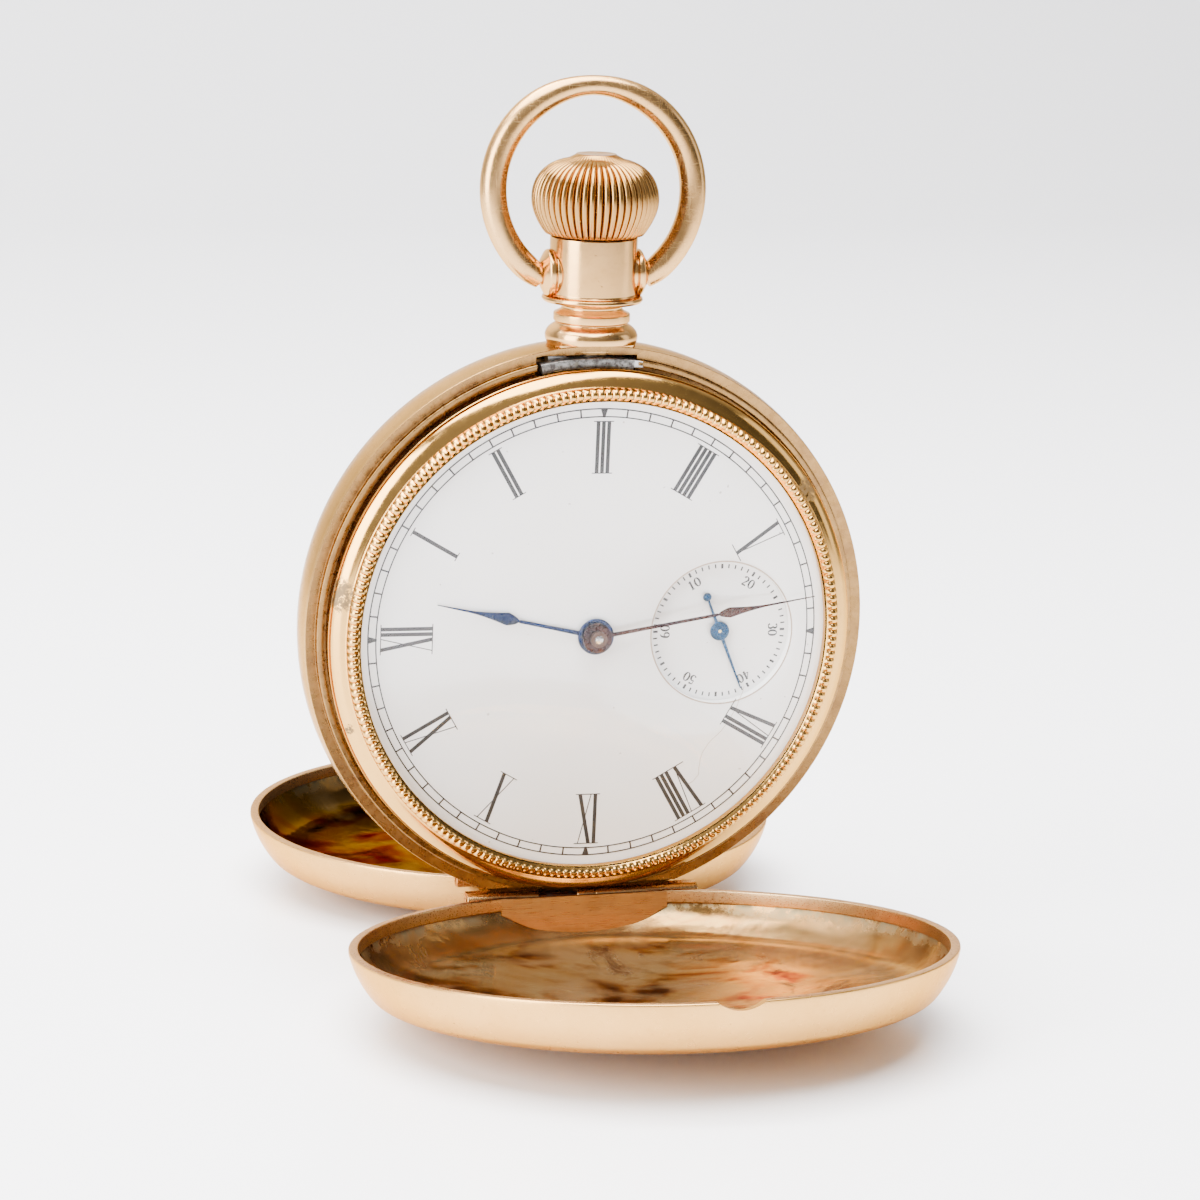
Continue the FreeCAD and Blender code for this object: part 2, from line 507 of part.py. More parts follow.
# Bow: a ring of round wire whose two ends turn in the ears.
bow_pivot = Place(Vec(0, num("ear_height"), num("stem_z")), Turn(X_AXIS, -num("bow_back_lean")))
bow_ring = doc.addObject("Part::Torus", "bow_ring")
bind(bow_ring, "Radius1", "bow_radius")
bind(bow_ring, "Radius2", "bow_wire")
bow_rise = num("bow_centre") - num("ear_height")
bow_ring.Angle3 = 360 - 2 * (90 - num("bow_end_angle"))
bow_ring.Placement = lifted(bow_pivot.multiply(
    Place(Vec(0, bow_rise, 0), Turn(Z_AXIS, -num("bow_end_angle")))))
bow_parts = [bow_ring]
for side in (-1, 1):
    pin = doc.addObject("Part::Cylinder", "bow_pin_%s" % ("left" if side < 0 else "right"))
    bind(pin, "Radius", "bow_pin")
    bind(pin, "Height", "bow_pin_long")
    inner = Vec(side * num("bow_pin_in"), 0, 0)
    pin.Placement = lifted(bow_pivot.multiply(Place(inner, Turn(Y_AXIS, 90 * side))))
    bow_parts.append(pin)
joined("bow", bow_parts)

# Crown: an onion with flutes, and its stem with a square tip.
crown_blank = turned("crown_blank", [
    ("stem_round", "crown_cup_top"), ("crown_cup", "crown_cup_top"), ("crown_cup", "crown_low"),
    ("crown_foot", "crown_low"), ("crown_waist", "crown_mid", "crown_waist"),
    ("crown_shoulder", "crown_shoulder_y"), ("crown_flat", "crown_top"), ("0", "crown_top"),
    ("0", "crown_top - crown_bore_depth"), ("stem_round", "crown_top - crown_bore_depth")], stem_line)
flutes = []
for k in range(int(num("crown_flutes"))):
    angle = 360.0 * k / num("crown_flutes")
    around = stem_line.multiply(Place(ORIGIN, Turn(Z_AXIS, angle)))
    groove = doc.addObject("Part::Cylinder", "flute_%02d" % k)
    bind(groove, "Radius", "flute_depth")
    groove.setExpression("Height", rule("crown_top - crown_low"))
    groove.Placement = lifted(around.multiply(Place(Vec(num("crown_waist"), 0, num("crown_low")), Turn())))
    flutes.append(groove)
cut("crown", crown_blank, joined("crown_flutes_tool", flutes))

stem_top = rod("stem_shank", "stem_round", Vec(0, num("stem_square_top"), num("stem_z")), ALONG_Y,
               "crown_top - crown_bore_depth - stem_square_top")
stem_tip = block("stem_tip_square", ("0 - stem_square_half", "stem_tip", "stem_z - stem_square_half"),
                 ("stem_square_half", "stem_square_top", "stem_z + stem_square_half"))
joined("crown_stem", [stem_top, stem_tip])

# Winding arbor: turns with the crown, takes the square tip of the stem.
arbor_thin = rod("arbor_thin_end", "arbor_thin", Vec(0, num("arbor_in"), num("stem_z")), ALONG_Y,
                 "arbor_out - arbor_in")
arbor_fat = rod("arbor_fat_end", "arbor_socket", Vec(0, num("arbor_step"), num("stem_z")), ALONG_Y,
                "arbor_out - arbor_step")
socket = block("arbor_square", ("0 - socket_half", "socket_floor", "stem_z - socket_half"),
               ("socket_half", "arbor_out", "stem_z + socket_half"))
cut("winding_arbor", joined("arbor_blank", [arbor_thin, arbor_fat]), socket)


def on_stem(solid):
    """Carry a solid built about Z onto the stem axis."""
    solid.Placement = Place(Vec(0, 0, num("stem_z")), ALONG_Y)
    return solid


wind = toothed(num("winding_teeth"), num("winding_module"), 0.0, num("pinion_low"),
               num("pinion_high"), num("arbor_thin"))
wind.rotate(ORIGIN, Z_AXIS, 90.0 + 180.0 / num("winding_teeth"))
shaped("winding_pinion", Part.Compound([on_stem(wind)]).Solids[0])
castle = Part.makeCylinder(num("castle_radius"), num("castle_high") - num("castle_low"),
                           Vec(0, 0, num("castle_low")))
castle = castle.cut(Part.makeCylinder(num("arbor_thin"), num("castle_high"), ORIGIN))
shaped("castle_wheel", Part.Compound([on_stem(castle)]).Solids[0])

# ------------------------------------------------------------------ lids and dust cover
def lid(side, depth, open_angle, facing):
    """One domed lid, drawn closed at its plane and swung about its hinge. facing is 1 or -1."""
    node = side + "_lid"
    plane = side + "_plane"
    hinge = Vec(0, num(side + "_hinge_y"), num(side + "_hinge_z"))
    swing = Turn(X_AXIS, facing * num(open_angle))
    drawn = Place(Vec(0, 0, num(plane)), Turn(Y_AXIS, 0 if facing > 0 else 180))
    opened = Place(hinge, swing).multiply(Place(Vec(0, -hinge.y, -hinge.z), Turn()))
    outside = [("lid_rim", "0"), ("lid_wall", "lid_wall_depth", "lid_bulge"), ("0", depth, "dome")]
    shell = turned(node + "_shell", outside + [
        ("0", depth + " - lid_skin"), ("lid_wall - lid_land", "lid_wall_depth - inner_wall_step", "dome"),
        ("lid_rim - lid_land", "0", "lid_bulge")], opened.multiply(drawn))
    filled = turned(node + "_form", outside + [("0", "0")], opened.multiply(drawn))

    def inward(distance):
        """A height inside the closed lid, measured from its rim; a distance of 0 - d is outside it."""
        words = distance.split()
        deeper = (facing > 0) != (words[0] == "0")
        return plane + (" + " if deeper else " - ") + words[-1]

    def closed_block(name, across, along, first, last):
        low, high = (first, last) if facing > 0 else (last, first)
        item = block(name, (across[0], along[0], low), (across[1], along[1], high))
        corner = Place(Vec(num(across[0]), num(along[0]), num(low)), Turn())
        item.Placement = lifted(opened.multiply(corner))
        return item

    def closed_rod(name, radius, spot, turn, length):
        item = rod(name, radius, spot, turn, length)
        item.Placement = lifted(opened.multiply(Place(spot, turn)))
        return item

    notch = closed_block(node + "_notch", ("hinge_left - lid_notch_slack", "hinge_right + lid_notch_slack"),
                         ("0 - beyond_rim", side + "_notch_in"), inward("0 - rim_overrun"),
                         inward(side + "_notch_end"))
    shell = cut(node + "_notched", shell, notch)
    if facing > 0:
        nick = closed_rod(node + "_nail_nick", "nail_nick",
                          Vec(0, num("nick_at"), num(plane) - num("nick_drop")),
                          ALONG_Y, "lid_rim - nick_at + leaf_lap")
        shell = cut(node + "_nicked", shell, nick)
    blank = closed_block(node + "_plate_blank", ("0 - plate_half", "plate_half"),
                         (side + "_plate_out", side + "_plate_in"),
                         inward(side + "_plate_start"), inward(side + "_plate_end"))
    plate = doc.addObject("Part::Common", node + "_plate")
    plate.Base = blank
    plate.Tool = filled
    tube_at = Vec(num("lid_knuckle"), hinge.y, hinge.z)
    tube = closed_rod(node + "_tube", "hinge_tube", tube_at, ALONG_X, "lid_knuckle_end - lid_knuckle")
    width = ("lid_knuckle", "lid_knuckle_end")
    hinge_y = side + "_hinge_y"
    if facing > 0:
        links = [closed_block(node + "_leaf", width, (hinge_y, side + "_plate_out + leaf_lap"),
                              side + "_hinge_z", inward(side + "_leaf_end"))]
    else:
        links = [closed_block(node + "_leaf", width, (hinge_y + " - leaf_out", hinge_y + " - leaf_in"),
                              side + "_hinge_z", inward(side + "_leaf_end")),
                 closed_block(node + "_leaf_foot", width, (hinge_y + " - leaf_out", "leaf_foot_in"),
                              inward(side + "_plate_start"), inward(side + "_leaf_end"))]
    whole = joined(node + "_joined", [shell, plate, tube] + links)
    bore = closed_rod(node + "_bore", "hinge_bore", Vec(-num("beyond_rim"), hinge.y, hinge.z), ALONG_X,
                      "beyond_rim + beyond_rim")
    return cut(node, whole, bore)


lid("front", "lid_depth", "front_open", 1)
lid("rear", "rear_depth", "rear_open", -1)

cover = turned("dust_cover_dish", [
    ("cover_rim", "cover_front"), ("cover_rim", "cover_step"),
    ("cover_shoulder", "cover_shoulder_z"), ("0", "cover_apex", "dome"),
    ("0", "cover_apex + cover_skin"),
    ("cover_shoulder - cover_inner_step", "cover_shoulder_z + cover_skin", "dome"),
    ("cover_rim - cover_skin", "cover_step + cover_inner_rise"), ("cover_rim - cover_skin", "cover_front")])
cover_tube = rod("dust_cover_tube", "cover_tube",
                 Vec(-num("cover_tube_half"), num("cover_hinge_y"), num("cover_hinge_z")), ALONG_X,
                 "cover_tube_half + cover_tube_half")
cover_bore = rod("dust_cover_bore", "cover_bore",
                 Vec(-num("cover_pin_half"), num("cover_hinge_y"), num("cover_hinge_z")), ALONG_X,
                 "cover_pin_half + cover_pin_half")
cut("dust_cover", joined("dust_cover_joined", [cover, cover_tube]), cover_bore)
cover_pin = rod("dust_cover_pin", "cover_pin",
                Vec(-num("cover_pin_half"), num("cover_hinge_y"), num("cover_hinge_z")), ALONG_X,
                "cover_pin_half + cover_pin_half")
cover_pin.Label = "dust_cover_pin"

# ------------------------------------------------------------------ springs in the case
head_block = block("catch_head_block", ("0 - catch_half", "catch_in", "catch_low"),
                   ("catch_half", "catch_out", "ridge_front"))
head = doc.addObject("Part::Common", "catch_head")
head.Base = head_block
head.Tool = disc("catch_curve", "catch_out", "catch_low", "0")
leg = block("catch_leg", ("0 - catch_half", "leg_in", "leg_low"), ("leg_side", "leg_out", "leg_high"))
for side in ("lock", "lift"):
    start = num(side + "_start")
    sweep = num(side + "_sweep")
    strip_outer = disc(side + "_strip_outer", "strip_out", "strip_low", "strip_high",
                       turn=Turn(Z_AXIS, start), angle=sweep)
    strip_inner = disc(side + "_strip_inner", "strip_in", "strip_low - strip_overrun",
                       "strip_high + strip_overrun")
    strip = cut(side + "_strip", strip_outer, strip_inner)
    if side == "lock":
        joined("lock_spring", [strip, head, leg])
    else:
        strip.Label = "lift_spring"

# ------------------------------------------------------------------ bezel, glass, dial
bezel_ring = turned("bezel_ring", [
    ("bezel_bore", "bezel_foot"), ("bezel_skirt", "bezel_foot"), ("bezel_skirt", "bezel_seat"),
    ("bezel_rim", "bezel_seat"), ("bezel_rim", "bezel_edge"), ("bezel_slope_r", "bezel_slope_z"),
    ("bead_mid_r", "bead_mid_z"), ("bezel_eye + eye_lead", "bezel_eye_z"),
    ("bezel_eye", "glass_low + eye_rise"), ("bezel_eye + eye_lead", "glass_low"),
    ("bezel_lip", "glass_low - lip_drop"), ("bezel_lip", "bezel_lip_z"),
    ("bezel_bore", "bezel_lip_z")])
bezel_flat = block("bezel_flat", ("0 - gap_half", "0 - beyond_rim", "bezel_flat_low"),
                   ("gap_half", "bezel_gap_in", "bezel_flat_high"))
cut("bezel", bezel_ring, bezel_flat)
turned("crystal", [
    ("glass_rim", "glass_low"), ("glass_rim", "glass_low + glass_edge"), ("0", "glass_apex", "dome"),
    ("0", "glass_apex - glass_thick"), ("glass_rim - glass_land", "glass_low", "dome")])

FOOT_ANGLES = (35.0, 205.0, 290.0)


def foot_spot(degrees):
    angle = math.radians(degrees)
    return num("foot_ring") * math.cos(angle), num("foot_ring") * math.sin(angle)


dial_disc = disc("dial_disc", "dial_rim", "dial_back", "0")
dial_feet = [disc("dial_foot_%d" % a, "foot_radius", "foot_end", "dial_back", *foot_spot(a))
             for a in FOOT_ANGLES]
dial_holes = joined("dial_holes", [
    disc("dial_eye", "dial_hole", "foot_end", "bezel_lip_z"),
    disc("seconds_opening", "seconds_sink", "foot_end", "bezel_lip_z", "seconds_x", "seconds_y")])
cut("dial", joined("dial_blank", [dial_disc] + dial_feet), dial_holes)
cut("seconds_dial",
    disc("seconds_disc", "seconds_rim", "seconds_back", "dial_back", "seconds_x", "seconds_y"),
    disc("seconds_eye", "seconds_hole", "foot_end", "0", "seconds_x", "seconds_y"))


def hand(node, length, boss, hole, low, high, angle, spade=None, tail=0.0, x=0.0, y=0.0):
    """A hand with a boss, a tapering arm and an optional spade or ball tail."""
    thick = high - low
    root = num("root_half")
    neck = num("neck_half")
    tip = num("tip_half")
    half = [(boss * 0.8, root)]
    if spade:
        spade_at, spade_half, spade_long = spade
        half += [(spade_at - spade_long * 0.45, neck), (spade_at, spade_half),
                 (spade_at + spade_long * 0.4, neck)]
    half += [(length, tip)]
    edge = [Vec(s, -w, 0) for s, w in half] + [Vec(s, w, 0) for s, w in reversed(half)]
    blade = Part.Face(Part.makePolygon(edge + edge[:1])).extrude(Vec(0, 0, thick))
    pieces = [blade, Part.makeCylinder(boss, thick)]
    if tail:
        bar = num("tail_half")
        pieces.append(Part.makeBox(tail, 2 * bar, thick, Vec(-tail, -bar, 0)))
        pieces.append(Part.makeCylinder(num("tail_ball"), thick, Vec(-tail, 0, 0)))
    whole = pieces[0].multiFuse(pieces[1:]).removeSplitter()
    whole = whole.cut(Part.makeCylinder(hole, thick))
    whole.rotate(ORIGIN, Z_AXIS, angle)
    whole.translate(Vec(x, y, low))
    shaped(node, whole)


HOUR_SPADE = (10.2, 1.15, 3.6)
MINUTE_SPADE = (13.4, 1.05, 3.8)
hand("hour_hand", num("hour_long"), num("hour_boss"), num("hour_hub"), num("hour_low"),
     num("hour_high"), num("hour_angle"), HOUR_SPADE)
hand("minute_hand", num("minute_long"), num("minute_boss"), num("cannon_tube"), num("minute_low"),
     num("minute_high"), num("minute_angle"), MINUTE_SPADE)
hand("seconds_hand", num("sweep_long"), num("sweep_boss"), num("pivot + hour_slack"), num("sweep_low"),
     num("sweep_high"), num("sweep_angle"), None, num("sweep_tail"), num("seconds_x"), num("seconds_y"))

# ------------------------------------------------------------------ train layout
FOURTH = (num("seconds_x"), num("seconds_y"))
centre_reach = num("centre_module") * (num("centre_teeth") + num("third_leaves")) / 2
third_reach = num("third_module") * (num("third_teeth") + num("fourth_leaves")) / 2
fourth_reach = num("fourth_module") * (num("fourth_teeth") + num("escape_leaves")) / 2
span = math.hypot(*FOURTH)
along = (centre_reach ** 2 - third_reach ** 2 + span ** 2) / (2 * span)
aside = math.sqrt(centre_reach ** 2 - along ** 2)
toward = math.atan2(FOURTH[1], FOURTH[0])
THIRD = (along * math.cos(toward) - aside * math.sin(toward),
         along * math.sin(toward) + aside * math.cos(toward))
escape_way = math.radians(num("escape_angle"))
ESCAPE = (FOURTH[0] + fourth_reach * math.cos(escape_way), FOURTH[1] + fourth_reach * math.sin(escape_way))
BALANCE = (num("balance_x"), num("balance_y"))
fork_way = math.atan2(BALANCE[1] - ESCAPE[1], BALANCE[0] - ESCAPE[0])
FORK = (ESCAPE[0] + num("fork_gap") * math.cos(fork_way), ESCAPE[1] + num("fork_gap") * math.sin(fork_way))
barrel_way = math.radians(num("barrel_angle"))
BARREL = (num("barrel_distance") * math.cos(barrel_way), num("barrel_distance") * math.sin(barrel_way))
barrel_module = 2 * num("barrel_distance") / (num("barrel_teeth") + num("centre_leaves"))
CROWN_WHEEL = (0.0, num("crown_wheel_y"))
motion_way = math.radians(num("minute_wheel_angle"))
MINUTE_WHEEL = (num("motion_distance") * math.cos(motion_way), num("motion_distance") * math.sin(motion_way))

BEARINGS = [ORIGIN, Vec(THIRD[0], THIRD[1], 0), Vec(FOURTH[0], FOURTH[1], 0), Vec(ESCAPE[0], ESCAPE[1], 0)]
PILLARS = [(17.4, 8.2), (4.6, 18.4), (18.2, -6.8), (-18.9, -5.2)]
CASE_SCREWS = [(10.3, 17.84), (-7.05, -19.36)]
COCK_FOOT = (-10.6, -12.2)

# Wheels of the going train, each on its own arbor.
plate_back = num("plate_back")
top_front = num("top_front")
pivot = num("pivot")
low_pivot = top_front - num("pivot_long")
high_pivot = plate_back + num("pivot_long")
low_end = top_front + num("end_shake")
high_end = plate_back - num("end_shake")


def train_wheel(spot, wheel, pinion):
    """A crossed-out wheel and its pinion on one arbor. wheel and pinion: teeth, module, phase, low, high."""
    teeth, module, phase, low, high = wheel
    rim = toothed(teeth, module, phase, low, high)
    pitch = teeth * module / 2
    rim = rim.cut(spoked(pitch, pitch - num("crossing_rim"), num("crossing_hub"), low, high,
                         int(num("crossing_arms")), num("crossing_arm")))
    pieces = [rim, shaft(num("arbor"), low_end, high_end), shaft(pivot, low_pivot, high_pivot),
              toothed(*pinion)]
    return fused(pieces, spot[0], spot[1])


def levels(name):
    return num(name + "_low"), num(name + "_high")


centre_teeth = num("centre_teeth")
centre_leaves = num("centre_leaves")
third_teeth = num("third_teeth")
third_leaves = num("third_leaves")
fourth_teeth = num("fourth_teeth")
fourth_leaves = num("fourth_leaves")
escape_leaves = num("escape_leaves")
barrel_teeth = num("barrel_teeth")
centre_phase = 0.0
centre_pinion_phase = math.radians(num("centre_pinion_turn"))
third_direction = math.atan2(THIRD[1], THIRD[0])
third_pinion_phase = meshed_phase(centre_phase, centre_teeth, third_direction, third_leaves)
third_phase = 0.0
fourth_direction = math.atan2(FOURTH[1] - THIRD[1], FOURTH[0] - THIRD[0])
fourth_pinion_phase = meshed_phase(third_phase, third_teeth, fourth_direction, fourth_leaves)
fourth_phase = 0.0
escape_pinion_phase = meshed_phase(fourth_phase, fourth_teeth, escape_way, escape_leaves)
barrel_phase = meshed_phase(centre_pinion_phase, centre_leaves, barrel_way, barrel_teeth)

centre_pitch = num("centre_module") * centre_teeth / 2
centre_web = toothed(centre_teeth, num("centre_module"), centre_phase, *levels("centre_web"))
centre_web = centre_web.cut(spoked(centre_pitch, centre_pitch - num("crossing_rim"), num("centre_hub"),
                                   *levels("centre_web"), int(num("crossing_arms")), num("centre_arm")))
shaped("centre_wheel", fused([
    centre_web, toothed(centre_leaves, barrel_module, centre_pinion_phase, *levels("centre_pinion")),
    shaft(num("centre_arbor"), low_end, num("centre_top")), shaft(pivot * 2, low_pivot, high_end)]))
shaped("third_wheel", train_wheel(
    THIRD, (third_teeth, num("third_module"), third_phase, *levels("third_web")),
    (third_leaves, num("centre_module"), third_pinion_phase, *levels("third_pinion"))))
fourth = train_wheel(
    FOURTH, (fourth_teeth, num("fourth_module"), fourth_phase, *levels("fourth_web")),
    (fourth_leaves, num("third_module"), fourth_pinion_phase, *levels("fourth_pinion")))
long_pivot = shaft(pivot, high_end, num("seconds_post_top"))
long_pivot.translate(Vec(FOURTH[0], FOURTH[1], 0))
shaped("fourth_wheel", fourth.fuse(long_pivot).removeSplitter())

# Escape wheel: pointed, raked teeth.
escape_points = []
escape_teeth = int(num("escape_teeth"))
escape_radius = num("escape_radius")
escape_root = escape_radius - num("escape_tooth")
ESCAPE_TOOTH = ((escape_root, 0.0), (escape_radius, 0.13), (escape_radius, 0.17), (escape_root, 0.16))
for tooth in range(escape_teeth):
    base_angle = tooth * 2 * math.pi / escape_teeth
    for radius, shift in ESCAPE_TOOTH:
        escape_points.append(Vec(radius * math.cos(base_angle + shift),
                                 radius * math.sin(base_angle + shift), 0))
escape_low, escape_high = levels("escape_web")
escape_web = Part.Face(Part.makePolygon(escape_points + escape_points[:1]))
escape_web = escape_web.extrude(Vec(0, 0, escape_high - escape_low))
escape_web.translate(Vec(0, 0, escape_low))
escape_web = escape_web.cut(spoked(num("escape_rim"), num("escape_rim_in"), num("escape_hub"), escape_low,
                                   escape_high, 4, num("escape_arm")))
shaped("escape_wheel", fused([
    escape_web, toothed(escape_leaves, num("fourth_module"), escape_pinion_phase, *levels("escape_pinion")),
    shaft(num("escape_arbor"), low_end, high_end), shaft(pivot, low_pivot, high_pivot)],
    ESCAPE[0], ESCAPE[1]))

# Barrel with its arbor and coiled mainspring.
drum = toothed(barrel_teeth, barrel_module, barrel_phase, num("barrel_tooth_back"), num("barrel_front"))
drum = drum.fuse(shaft(num("barrel_drum"), num("barrel_back"), num("barrel_front")))
drum = drum.cut(shaft(num("barrel_drum") - num("barrel_wall"), num("barrel_floor"),
                      num("barrel_floor") + num("barrel_depth")))
drum = drum.cut(shaft(num("barrel_bore"), top_front, plate_back))
drum.translate(Vec(BARREL[0], BARREL[1], 0))
shaped("mainspring_barrel", drum.removeSplitter())
shaped("barrel_arbor", fused([
    shaft(num("barrel_shaft"), low_end, high_end),
    shaft(num("barrel_core"), num("core_low"), num("core_high")),
    shaft(num("barrel_square"), num("wheel_under") - num("end_shake"), high_pivot)], BARREL[0], BARREL[1]))


def coil(turns, start, grow, thick, high, low, centre):
    """A flat spiral spring about a centre."""
    steps = 36
    inner = []
    outer = []
    for k in range(turns * steps + 1):
        angle = 2 * math.pi * k / steps
        radius = start + grow * k / (turns * steps)
        inner.append(Vec(radius * math.cos(angle), radius * math.sin(angle), 0))
        outer.append(Vec((radius + thick) * math.cos(angle), (radius + thick) * math.sin(angle), 0))
    band = Part.Face(Part.makePolygon(inner + outer[::-1] + inner[:1])).extrude(Vec(0, 0, high))
    band.translate(Vec(centre[0], centre[1], low))
    return band


shaped("mainspring", coil(int(num("coil_turns")), num("coil_start"), num("coil_grow"), num("coil_thick"),
                          num("coil_high"), num("coil_low"), BARREL))

# Winding wheels sunk in the top plate.
crown_wheel_teeth = num("crown_wheel_teeth")
ratchet_teeth = num("ratchet_teeth")
winding_module = num("winding_module")
wheel_under = num("wheel_under")
wheel_top = num("wheel_top")
crown_to_ratchet = math.atan2(BARREL[1] - CROWN_WHEEL[1], BARREL[0] - CROWN_WHEEL[0])
crown_wheel_phase = math.pi / 2 + math.pi / crown_wheel_teeth
crown_web = toothed(crown_wheel_teeth, winding_module, crown_wheel_phase, wheel_under, wheel_top,
                    num("crown_wheel_bore"))
crown_web.translate(Vec(CROWN_WHEEL[0], CROWN_WHEEL[1], 0))
shaped("crown_wheel", crown_web)
shaped("crown_wheel_screw", fused([
    shaft(num("hub_radius"), *levels("hub")), shaft(num("hub_cap"), num("hub_cap_low"), num("hub_low")),
    shaft(num("hub_post"), num("hub_high"), num("hub_post_top"))], CROWN_WHEEL[0], CROWN_WHEEL[1]))
ratchet_phase = meshed_phase(crown_wheel_phase, crown_wheel_teeth, crown_to_ratchet, ratchet_teeth)
ratchet = toothed(ratchet_teeth, winding_module, ratchet_phase, wheel_under, wheel_top, num("barrel_square"))
ratchet.translate(Vec(BARREL[0], BARREL[1], 0))
shaped("ratchet_wheel", ratchet)
CLICK = (BARREL[0] + num("click_x"), BARREL[1] + num("click_y"))
click_way = math.degrees(math.atan2(BARREL[1] - CLICK[1], BARREL[0] - CLICK[0]))
heel = -num("click_heel")
beak = num("click_beak")
pawl_edge = [Vec(heel, -0.5, 0), Vec(beak, -0.3, 0), Vec(beak, 0.05, 0), Vec(heel, 0.5, 0)]
pawl = Part.Face(Part.makePolygon(pawl_edge + pawl_edge[:1])).extrude(Vec(0, 0, num("click_thick")))
pawl = pawl.fuse(shaft(num("click_hub"), 0, num("click_thick")))
pawl = pawl.cut(shaft(num("click_bore"), 0, num("click_thick"))).removeSplitter()
pawl.rotate(ORIGIN, Z_AXIS, click_way)
pawl.translate(Vec(CLICK[0], CLICK[1], num("click_low")))
shaped("click", pawl)
shaped("click_screw", fused([
    shaft(num("click_post"), num("click_head_high"), num("click_post_top")),
    shaft(num("click_head"), *levels("click_head"))], CLICK[0], CLICK[1]))

# Motion work under the dial.
cannon_leaves = num("cannon_leaves")
minute_teeth = num("minute_teeth")
minute_leaves = num("minute_leaves")
hour_teeth = num("hour_teeth")
cannon_phase = 0.0
minute_wheel_phase = meshed_phase(cannon_phase, cannon_leaves, motion_way, minute_teeth)
minute_pinion_phase = 0.0
hour_phase = meshed_phase(minute_pinion_phase, minute_leaves, motion_way + math.pi, hour_teeth)
motion_module = 2 * num("motion_distance") / (cannon_leaves + minute_teeth)
hour_module = 2 * num("motion_distance") / (minute_leaves + hour_teeth)
cannon = toothed(cannon_leaves, motion_module, cannon_phase, num("cannon_low"), num("cannon_teeth_top"))
cannon = cannon.fuse(shaft(num("cannon_tube"), num("cannon_low"), num("minute_post_top")))
cannon = cannon.cut(shaft(num("centre_arbor"), num("cannon_low"), num("minute_post_top")))
shaped("cannon_pinion", cannon.removeSplitter())
minute_wheel = fused([
    toothed(minute_teeth, motion_module, minute_wheel_phase, *levels("minute_web")),
    toothed(minute_leaves, hour_module, minute_pinion_phase, num("minute_web_high"),
            num("minute_pinion_top"))])
minute_wheel = minute_wheel.cut(shaft(num("minute_bore"), num("minute_web_low"), num("minute_pinion_top")))
minute_wheel.translate(Vec(MINUTE_WHEEL[0], MINUTE_WHEEL[1], 0))
shaped("minute_wheel", minute_wheel)
hour_wheel = fused([toothed(hour_teeth, hour_module, hour_phase, *levels("hour_web")),
                    shaft(num("hour_hub"), num("hour_web_low"), num("hour_pipe_top"))])
shaped("hour_wheel", hour_wheel.cut(shaft(num("cannon_tube + hour_slack"), num("hour_web_low"),
                                          num("hour_pipe_top"))))


# Pillar plate with the stem block, minute post and recesses.
def post(radius, spot, low, high):
    """A round bar along Z at a spot of the movement."""
    return Part.makeCylinder(radius, high - low, Vec(spot[0], spot[1], low))


plate_front = num("plate_front")
stem_z = num("stem_z")
plate = post(num("plate_rim"), ORIGIN, plate_back, plate_front)
plate = plate.cut(post(num("motion_recess"), ORIGIN, num("motion_floor"), plate_front))
plate = plate.fuse(Part.makeBox(2 * num("stem_block_half"), num("stem_block_long"), num("stem_block_high"),
                                Vec(-num("stem_block_half"), num("stem_block_in"), num("stem_block_low"))))
plate = plate.cut(Part.makeBox(2 * num("wind_gap_half"), num("wind_gap_long"), num("wind_gap_high"),
                               Vec(-num("wind_gap_half"), num("wind_gap_in"), num("wind_gap_low"))))
plate = plate.cut(Part.makeCylinder(num("arbor_socket + path_slack"), num("path_long"),
                                    Vec(0, num("fat_path_start"), stem_z), Y_AXIS))
plate = plate.cut(Part.makeCylinder(num("arbor_thin + path_slack"), num("path_long"),
                                    Vec(0, num("thin_path_start"), stem_z), Y_AXIS))
for spot in BEARINGS[1:]:
    plate = plate.cut(post(num("jewel"), spot, plate_back, plate_front))
plate = plate.cut(post(num("centre_arbor + hour_slack"), ORIGIN, plate_back, plate_front))
plate = plate.cut(post(num("barrel_bearing"), BARREL, plate_back, plate_front))
for spot in (FORK, BALANCE):
    plate = plate.cut(post(num("blind_bore"), spot, plate_back, plate_back + num("blind_deep")))
for degrees in FOOT_ANGLES:
    plate = plate.cut(post(num("foot_radius + path_slack"), foot_spot(degrees),
                           plate_back + num("foot_hole_deep"), plate_front))
for spot in CASE_SCREWS:
    plate = plate.cut(post(num("case_screw_hole"), spot, plate_back, plate_back + num("case_screw_deep")))
plate = plate.fuse(post(num("minute_post"), MINUTE_WHEEL, num("motion_floor"),
                        num("motion_floor") + num("minute_post_high")))
shaped("pillar_plate", plate.removeSplitter())


def group(node, solids):
    shaped(node, Part.makeCompound(solids))


ledge_rear = num("ledge_rear")
group("pillars", [post(num("pillar"), spot, top_front, plate_back) for spot in PILLARS])
group("case_screws", [
    post(num("case_screw_head"), spot, ledge_rear - num("case_screw_head_high"), ledge_rear).fuse(
        post(num("case_screw_body"), spot, ledge_rear, ledge_rear + num("case_screw_long"))).removeSplitter()
    for spot in CASE_SCREWS])

# Three-quarter top plate, cut away for the balance, its cock and the winding wheels.
cock_way = math.degrees(math.atan2(COCK_FOOT[1] - BALANCE[1], COCK_FOOT[0] - BALANCE[0]))
cock_long = math.hypot(COCK_FOOT[0] - BALANCE[0], COCK_FOOT[1] - BALANCE[1])


def on_cock(solid):
    """Carry a solid laid along X from the balance to the foot of its cock."""
    solid.rotate(ORIGIN, Z_AXIS, cock_way)
    solid.translate(Vec(BALANCE[0], BALANCE[1], 0))
    return solid


